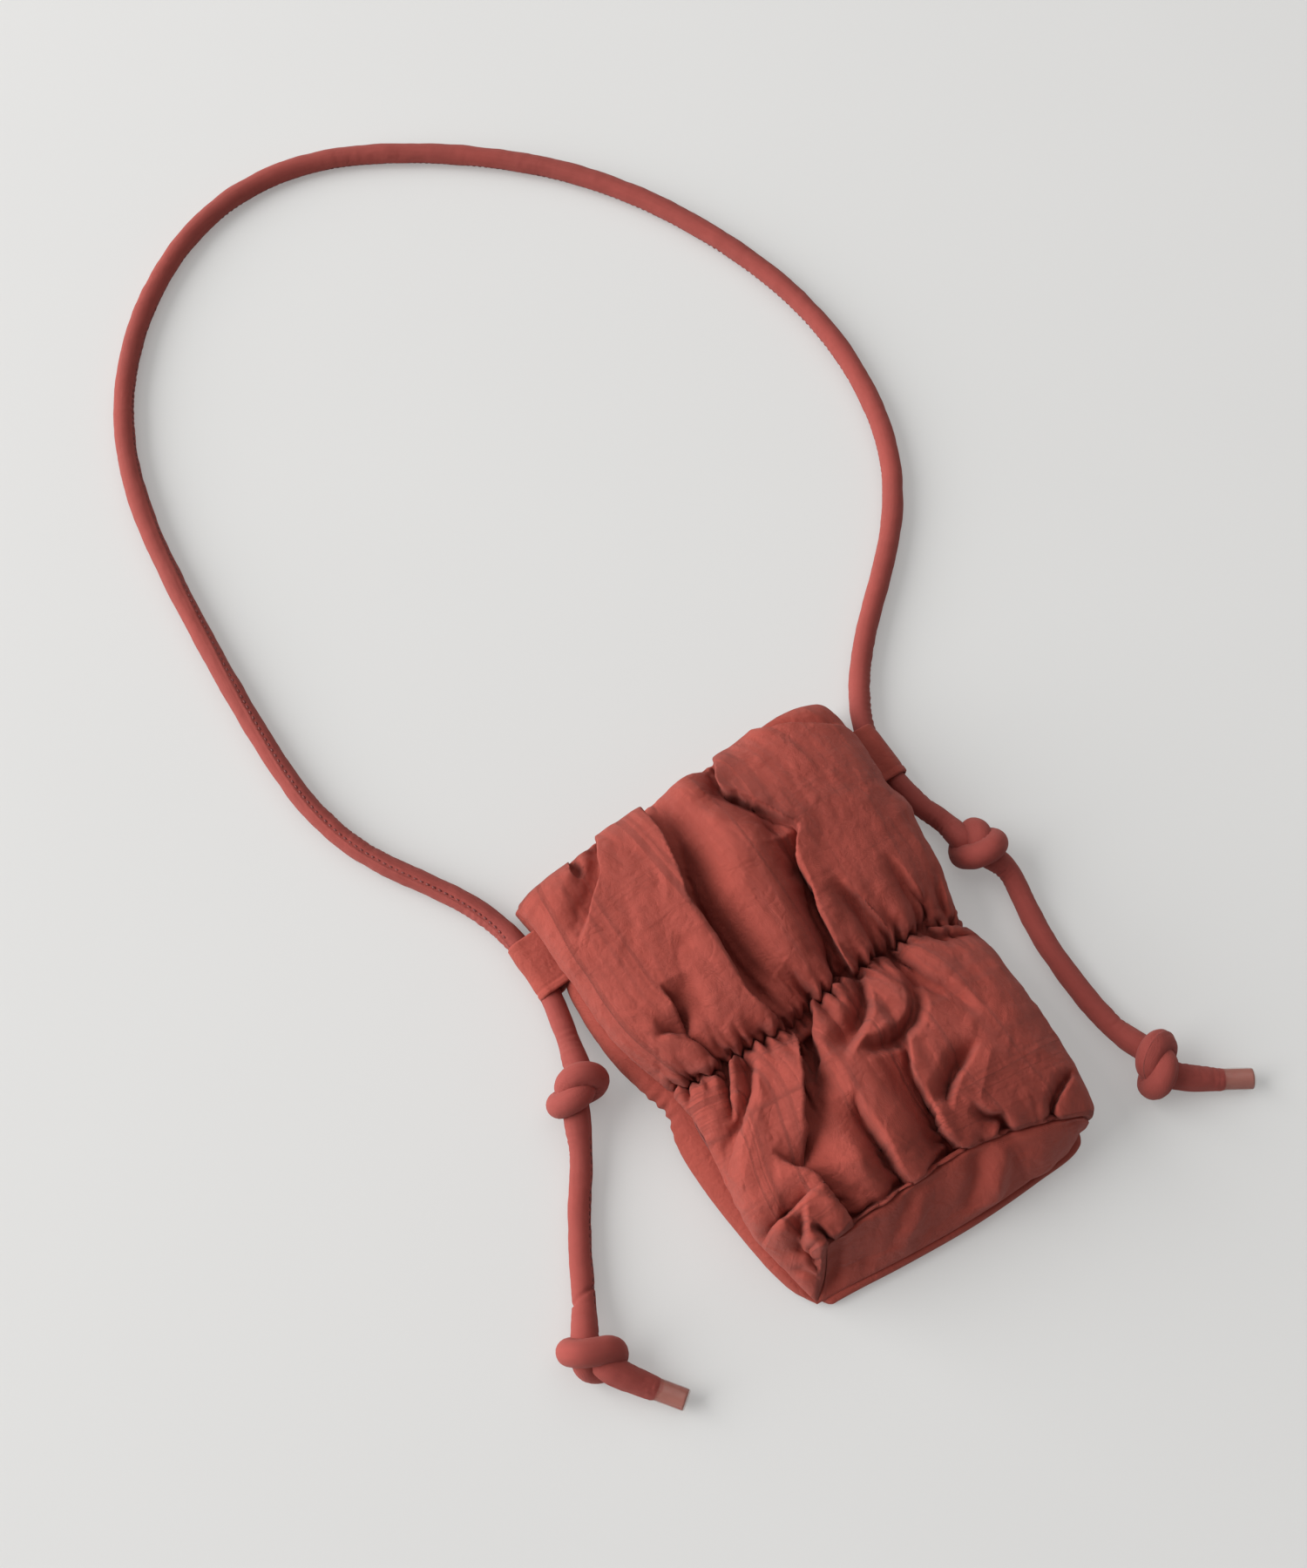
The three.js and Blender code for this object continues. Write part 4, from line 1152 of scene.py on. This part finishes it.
def cord_mesh(name, path, material, seam, core=None, fat=None, join_at=None):
    """Cloth tube with a lapped seam, puckered inside its bends; one with a core narrows into a sleeve."""
    count = int(length_of(path) / CORD_RING_STEP)
    share = np.linspace(0, 1, count)
    wide = np.ones(count) if fat is None else np.interp(share, np.linspace(0, 1, len(fat)), fat)
    path = resample(path, count)
    tangent, n1, n2 = frames_along(path)
    run = run_along(path)
    bend = np.gradient(tangent, axis=0) / np.gradient(run)[:, None]
    angle = np.linspace(0, 2 * math.pi, CORD_SIDES, endpoint=False)
    angle = 0.5 * STITCH_OFF + angle - SEAM_CROWDING * np.sin(angle)
    turn = angle[None, :] + np.interp(run, *zip(*seam))[:, None] - STITCH_OFF
    way = np.cos(turn)[..., None] * n1[:, None] + np.sin(turn)[..., None] * n2[:, None]
    inside = np.clip((way * bend[:, None]).sum(2) * CORD_RADIUS, 0, 0.5)
    noise = soft_noise((count, CORD_SIDES), 1.2)
    slow = soft_noise((count, CORD_SIDES), 3.5)
    off = (angle[None, :] + math.pi) % (2 * math.pi) - math.pi
    lap = LAP_HEIGHT * np.exp(-(off / np.where(off > 0, LAP_SOFT, LAP_SHARP)) ** 2)
    dent = DENT_DEPTH * np.exp(-((off - STITCH_OFF) / DENT_WIDTH) ** 2)
    gate = np.clip(soft_noise((count, 2), 14.0)[:, :1], 0, 1)
    fold = PUCKER_DEPTH * inside + PUCKER_EXTRA * gate * np.minimum(inside, PUCKER_MOST)
    pucker = fold * np.sin(2 * math.pi * (run / PUCKER_PITCH)[:, None] + PUCKER_STRAY * noise)
    relief = COVER_GRAIN * noise + COVER_WAVE * slow + lap - dent + pucker
    radius = (CORD_RADIUS - COVER_INSET + relief) * wide[:, None]
    if join_at is not None:
        k = np.argmin(np.linalg.norm(path[:, :2] - np.array(join_at) / M, axis=1))
        above = math.atan2(n2[k, 2], n1[k, 2])
        past = run[:, None] - run[k] - JOIN_TILT * np.sin(turn - above)
        step = JOIN_RISE * smoothstep(past) * np.exp(-np.clip(past, 0, None) / 6.0)
        radius = radius + step - JOIN_DEPTH * np.exp(-(past / 0.7) ** 2)
    if core is not None:
        held = smoothstep((run - run[-1] + SLEEVE_LENGTH + 1.5) / 2.5)[:, None]
        radius = radius * (1 - held) + CORD_RADIUS * (1 - SLEEVE_TAPER) * held
    rings = path[:, None] + radius[..., None] * way
    rows = [rings.reshape(-1, 3)]
    if core is not None:
        rows.append(path[-1] + CORE_SHARE * (rings[-1] - path[-1]))
        count += 1
    verts = np.vstack(rows + [path[:1], path[-1:]])
    faces = grid_faces(count, CORD_SIDES, flip=True, wrap=True)
    start, end = len(verts) - 2, len(verts) - 1
    ring = np.arange(CORD_SIDES)
    after = (ring + 1) % CORD_SIDES
    faces += [(start, int(k), int(n)) for k, n in zip(ring, after)]
    base = (count - 1) * CORD_SIDES
    faces += [(end, base + int(n), base + int(k)) for k, n in zip(ring, after)]
    u = np.broadcast_to(angle[None, :] * CORD_RADIUS, (count, CORD_SIDES))
    v = np.broadcast_to(np.append(run, run[-1])[:count, None], (count, CORD_SIDES))
    uv = np.vstack([np.stack([u, v], -1).reshape(-1, 2), [[0, 0], [0, run[-1]]]]) * M
    obj = make_object(name, verts, faces, material, uv, core, CORD_SIDES)
    return obj, path, (run, n1, n2, tangent)


def stitch_mesh(name, path, frames, seam, material):
    """Row of short thread stitches along the cord's seam."""
    run, n1, n2, tangent = frames
    verts, faces = [], []
    for middle in np.arange(STITCH_MARGIN, length_of(path) - STITCH_MARGIN, STITCH_PITCH):
        base = len(verts)
        for step, size, height in STITCH_RINGS:
            at = middle + step * STITCH_LENGTH
            i = min(int(np.searchsorted(run, at)), len(run) - 1)
            theta = np.interp(at, *zip(*seam))
            out = math.cos(theta) * n1[i] + math.sin(theta) * n2[i]
            side = np.cross(tangent[i], out)
            centre = np.array([np.interp(at, run, column) for column in path.T])
            centre = centre + out * (CORD_RADIUS - COVER_INSET + height)
            for a in np.linspace(0, 2 * math.pi, STITCH_SIDES, endpoint=False):
                verts.append(centre + STITCH_RADIUS * size * (math.cos(a) * out + 1.3 * math.sin(a) * side))
        faces += grid_faces(len(STITCH_RINGS), STITCH_SIDES, base, wrap=True)
        faces.append(tuple(range(base + STITCH_SIDES - 1, base - 1, -1)))
        faces.append(tuple(range(len(verts) - STITCH_SIDES, len(verts))))
    return make_object(name, verts, faces, material)


def sleeve_mesh(name, path, material):
    """Clear shrunk tube over the cord's end, its far rim turned in."""
    axis = unit(path[-1] - path[-6])
    side, lift = square_to(axis)
    held = CORD_RADIUS * (1 - SLEEVE_TAPER)
    profile = [(s, held + height) for s, height in SLEEVE_PROFILE]
    profile = resample(np.array(profile + profile[:1]), 49)[:-1]
    angle = np.linspace(0, 2 * math.pi, SLEEVE_SIDES, endpoint=False)
    ripple = SLEEVE_RIPPLE * soft_noise((len(profile), SLEEVE_SIDES), 3.0)
    s, radius = profile[:, :1], profile[:, 1:] + ripple * (profile[:, :1] < SLEEVE_RIM)
    way = np.cos(angle)[:, None] * side + np.sin(angle)[:, None] * lift
    verts = (path[-1] + s * axis)[:, None] + radius[..., None] * way
    faces = grid_faces(len(profile), SLEEVE_SIDES, wrap=True)
    last = (len(profile) - 1) * SLEEVE_SIDES
    for k in range(SLEEVE_SIDES):
        after = (k + 1) % SLEEVE_SIDES
        faces.append((last + k, last + after, after, k))
    return make_object(name, verts.reshape(-1, 3), faces, material)


# Materials

class Nodes:
    """Short way to add and join shader nodes in one material."""

    def __init__(self, name):
        self.material = bpy.data.materials.new(name)
        self.material.use_nodes = True
        self.tree = self.material.node_tree
        self.shader = self.tree.nodes["Principled BSDF"]
        self.place = self.add("TexCoord").outputs["Object"]

    def add(self, kind, **settings):
        node = self.tree.nodes.new("ShaderNode" + kind)
        for key, value in settings.items():
            setattr(node, key, value)
        return node

    def join(self, source, target):
        self.tree.links.new(source, target)

    def math(self, operation, first, second=0.0):
        node = self.add("Math", operation=operation)
        for socket, value in zip(node.inputs, (first, second)):
            if isinstance(value, (int, float)):
                socket.default_value = value
            else:
                self.join(value, socket)
        return node.outputs[0]

    def times(self, value, factor):
        return self.math("MULTIPLY", value, factor)

    def total(self, first, *others):
        for other in others:
            first = self.math("ADD", first, other)
        return first

    def set(self, name, value):
        self.shader.inputs[name].default_value = value

    def noise(self, place, scale, detail=2.0, distortion=0.0):
        node = self.add("TexNoise")
        node.inputs["Scale"].default_value = scale
        node.inputs["Detail"].default_value = detail
        node.inputs["Distortion"].default_value = distortion
        self.join(place, node.inputs["Vector"])
        return node.outputs["Fac"]

    def ridges(self, scale, distortion):
        """Thin crossing lines: where a noise passes its middle."""
        noise = self.noise(self.place, scale, distortion=distortion)
        return self.math("ABSOLUTE", self.math("SUBTRACT", noise, 0.5))

    def waves(self, coordinate, pitch):
        return self.math("SINE", self.times(coordinate, 2 * math.pi / pitch))

    def between(self, value, low, high):
        node = self.add("MapRange")
        node.inputs["From Min"].default_value = 0.25
        node.inputs["From Max"].default_value = 0.75
        node.inputs["To Min"].default_value = low
        node.inputs["To Max"].default_value = high
        self.join(value, node.inputs["Value"])
        return node.outputs["Result"]

    def tint(self, colour, strength):
        node = self.add("HueSaturation")
        node.inputs["Color"].default_value = (*colour, 1)
        self.join(strength, node.inputs["Value"])
        self.join(node.outputs["Color"], self.shader.inputs["Base Color"])

    def bump(self, height, depth, strength=1.0):
        node = self.add("Bump")
        node.inputs["Strength"].default_value = strength
        node.inputs["Distance"].default_value = depth
        self.join(height, node.inputs["Height"])
        self.join(node.outputs["Normal"], self.shader.inputs["Normal"])


def cloth_material(name, colour, weave, crinkle, rough, sheen):
    """Woven cloth: threads from the flat cloth's own map, crossing creases, uneven dye and a soft sheen."""
    n = Nodes(name)
    flat = n.add("UVMap", uv_map="cloth").outputs["UV"]
    split = n.add("SeparateXYZ")
    n.join(flat, split.inputs[0])
    threads = n.times(n.waves(split.outputs["X"], weave), n.waves(split.outputs["Y"], weave))
    stretch = n.add("Mapping")
    stretch.inputs["Scale"].default_value = SLUB_SCALE
    n.join(flat, stretch.inputs["Vector"])
    slub = n.noise(stretch.outputs["Vector"], scale=1.0, detail=1.0)
    mottle = n.noise(n.place, scale=30.0, detail=3.0)
    grain = n.noise(n.place, scale=420.0)
    creases = n.ridges(scale=95.0, distortion=0.8)
    fine = n.ridges(scale=260.0, distortion=0.5)
    n.bump(n.total(n.times(creases, crinkle), n.times(fine, 0.45 * crinkle), n.times(threads, 0.035),
                   n.times(slub, 0.05)), depth=0.0016)
    n.tint(colour, n.total(n.between(mottle, 0.93, 1.05), n.between(slub, -0.035, 0.035),
                           n.between(grain, -0.03, 0.03), n.times(threads, 0.03)))
    n.join(n.between(mottle, rough - 0.06, rough + 0.06), n.shader.inputs["Roughness"])
    n.set("Specular IOR Level", 0.22)
    n.set("Sheen Weight", sheen)
    n.set("Sheen Roughness", 0.45)
    n.set("Sheen Tint", SHEEN_TINT)
    return n.material


def knit_material(name, colour):
    """Ribbed elastic: ribs along the tape with small loops between them."""
    n = Nodes(name)
    split = n.add("SeparateXYZ")
    n.join(n.place, split.inputs[0])
    ribs, loops = n.waves(split.outputs["Y"], KNIT_RIB_M), n.waves(split.outputs["X"], KNIT_LOOP_M)
    height = n.total(n.times(ribs, 0.5), n.times(loops, 0.25))
    n.bump(height, depth=0.0003, strength=0.8)
    n.tint(colour, n.total(n.between(n.noise(n.place, scale=300.0), 0.9, 1.06), n.times(height, 0.06)))
    n.set("Roughness", 0.85)
    return n.material


def grained_material(name, colour, scale, detail, shade, depth, strength, rough):
    """Plain material with one fine grain in its colour and relief; gives its nodes and the grain."""
    n = Nodes(name)
    grain = n.noise(n.place, scale, detail)
    n.tint(colour, n.between(grain, *shade))
    n.bump(grain, depth, strength)
    n.set("Roughness", rough)
    return n, grain


def film_material(name, colour):
    """Thin clear film, a little hazy and uneven."""
    n, haze = grained_material(name, colour, scale=260.0, detail=2.0, shade=(0.9, 1.1),
                               depth=0.0003, strength=0.5, rough=0.16)
    n.join(n.between(haze, 0.10, 0.22), n.shader.inputs["Roughness"])
    n.set("Alpha", 0.13)
    n.set("Specular IOR Level", 1.0)
    n.set("IOR", 1.6)
    return n.material


def floor_material(name, colour, glow):
    """Pale paper that gives off a little light so that shadows stay light."""
    n = Nodes(name)
    n.tint(colour, n.between(n.noise(n.place, scale=6.0), 0.99, 1.01))
    n.bump(n.noise(n.place, scale=900.0), depth=0.0001, strength=0.1)
    n.set("Emission Color", GLOW_COLOUR)
    n.set("Emission Strength", glow)
    n.set("Roughness", 0.9)
    return n.material


shell_cloth = cloth_material("shell_cloth", (0.323, 0.0565, 0.0395),
                             weave=0.00055, crinkle=0.75, rough=0.72, sheen=0.12)
cord_cloth = cloth_material("cord_cloth", (0.30, 0.058, 0.047),
                            weave=0.0005, crinkle=0.22, rough=0.78, sheen=0.12)
lining_cloth = cloth_material("lining_cloth", (0.20, 0.050, 0.042),
                              weave=0.0004, crinkle=0.3, rough=0.6, sheen=0.05)
thread = grained_material("stitch_thread", (0.15, 0.026, 0.022), scale=1500.0, detail=1.0,
                          shade=(0.85, 1.15), depth=0.0002, strength=0.6, rough=0.55)[0].material
core_fibre = grained_material("cord_core", (0.22, 0.07, 0.058), scale=1800.0, detail=2.0,
                              shade=(0.7, 1.2), depth=0.0004, strength=0.8, rough=0.9)[0].material
sleeve_film = film_material("clear_sleeve", (0.62, 0.38, 0.3))
elastic_knit = knit_material("elastic_knit", (0.5, 0.42, 0.38))


# Stage

def add_light(name, way, distance, size, energy):
    """Round soft light that shines on the bag from the given way; distance and size in metres."""
    light = bpy.data.lights.new(name, "AREA")
    light.shape = "DISK"
    light.size = size
    light.energy = energy
    lamp = link_object(name, light)
    lamp.location = np.array(VIEW_AIM_M) + distance * way
    lamp.rotation_euler = Vector(-way).to_track_quat("-Z", "Y").to_euler()


def build_stage():
    cam_data = bpy.data.cameras.new("camera")
    cam_data.lens = LENS
    cam_data.sensor_width = SENSOR
    cam = link_object("camera", cam_data)
    back = np.array([math.sin(VIEW_AZIMUTH) * math.cos(VIEW_ELEVATION),
                     -math.cos(VIEW_AZIMUTH) * math.cos(VIEW_ELEVATION), math.sin(VIEW_ELEVATION)])
    cam.location = np.array(VIEW_AIM_M) + VIEW_DISTANCE_M * back
    cam.rotation_euler = (math.pi / 2 - VIEW_ELEVATION, 0, VIEW_AZIMUTH)
    bpy.context.scene.camera = cam
    half = FLOOR_HALF
    floor = make_object("floor", [(-half, -half, 0), (half, -half, 0), (half, half, 0), (-half, half, 0)],
                        [(0, 1, 2, 3)], floor_material("floor_paper", FLOOR_COLOUR, FLOOR_GLOW))
    right = np.array([math.cos(VIEW_AZIMUTH), math.sin(VIEW_AZIMUTH), 0])
    up = np.array([-math.sin(VIEW_AZIMUTH), math.cos(VIEW_AZIMUTH), 0])
    over = np.array([0, 0, 1.0])
    for name, (way, distance, size, energy) in LIGHTS.items():
        add_light(name, unit(way[0] * right + way[1] * up + way[2] * over), distance, size, energy)
    world = bpy.data.worlds.new("world")
    bpy.context.scene.world = world
    world.use_nodes = True
    background = world.node_tree.nodes["Background"]
    background.inputs["Color"].default_value = WORLD_COLOUR
    background.inputs["Strength"].default_value = WORLD_STRENGTH
    bpy.context.scene.view_settings.view_transform = "Standard"


build_stage()


# Pouch

def settle(piece, slot, *nodes):
    """Fixes a piece to the one body, in place of the CAD nodes that it stands for."""
    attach(piece, "root")
    if nodes:
        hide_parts(*nodes)


def add_panel(name, grids, node, flip=False):
    piece = patch_object(name, grids, shell_cloth, flip)
    settle(piece, "shell_cloth", node)


lower, upper = front_panel()
back = back_panel()
bottom = bottom_panel(lower[0])
lower[:SEAM_ROWS] = sink_seam(lower[:SEAM_ROWS], lower[0])
sides = {}
for side, col, side_line in (("left", 0, LEFT_SIDE), ("right", -1, RIGHT_SIDE)):
    sides[side] = gusset(np.vstack([lower[:, col], upper[1:, col]]), back[:, col], side_line)

hem = mouth_hem(upper, sides["right"][-1], back[-1], sides["left"][-1])
corner = np.cumsum([0, COLS, len(sides["right"][-1]) - 1, back.shape[1] - 1, len(sides["left"][-1]) - 1])
parts = [np.take(hem, np.arange(a, b + 1), axis=1, mode="wrap") for a, b in zip(corner[:-1], corner[1:])]
add_panel("front_shell", [lower, np.vstack([upper, parts[0]])], "front_panel")
add_panel("bottom_shell", [bottom], "bottom_panel")
add_panel("back_shell", [np.vstack([back, parts[2][:, ::-1]])], "back_panel", flip=True)
add_panel("left_gusset_shell", [np.vstack([sides["left"], parts[3][:, ::-1]])], "left_gusset",
          flip=True)
add_panel("right_gusset_shell", [np.vstack([sides["right"], parts[1]])], "right_gusset")

mouth_loop = hem[-1][::2]
rows = lining_rows(mouth_loop)
lining = make_object("lining_bag", rows.reshape(-1, 3), grid_faces(len(rows), rows.shape[1], wrap=True),
                     lining_cloth, cloth_uv(rows))
settle(lining, "lining_cloth", "lining")

for side, sign in (("left", -1), ("right", 1)):
    tab, tape = tab_mesh(side + "_tab_tape", sign, shell_cloth)
    settle(tab, "shell_cloth", side + "_strap_tab")

for node in ("front_waist_elastic", "back_waist_elastic"):
    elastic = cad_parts[node]
    elastic.data.materials.clear()
    elastic.data.materials.append(elastic_knit)


# Strap

def add_cord(name, path, seam, nodes, **shape):
    """One stretch of cord with its stitches; gives both pieces and the line that the cord follows."""
    cord, path, frames = cord_mesh(name + "_cord", path, cord_cloth, seam, **shape)
    stitches = stitch_mesh(name + "_stitches", path, frames, seam, thread)
    settle(cord, "cord_cloth", *nodes)
    settle(stitches, "cord_cloth")
    return cord, stitches, path


loop_path = spline(np.array([TAB_HEARTS_M[0]] + LOOP_ROUTE_M + [TAB_HEARTS_M[1]]) / M, LOOP_POINTS)
for _ in range(LOOP_SMOOTHING):
    ease(loop_path)
loop, stitches, loop_path = add_cord("strap_loop", loop_path, LOOP_SEAM, ["strap_loop"])

for side, tail in TAILS.items():
    path, fat = tail_path(tail)
    nodes = [side + "_" + name for name in TAIL_NODES]
    cord, stitches, path = add_cord(side + "_tail", path, TAIL_SEAM, nodes,
                                    core=core_fibre, fat=fat, join_at=tail.get("join_M"))
    sleeve = sleeve_mesh(side + "_tip_sleeve", path, sleeve_film)
    settle(sleeve, "clear_sleeve", side + "_cord_tip")
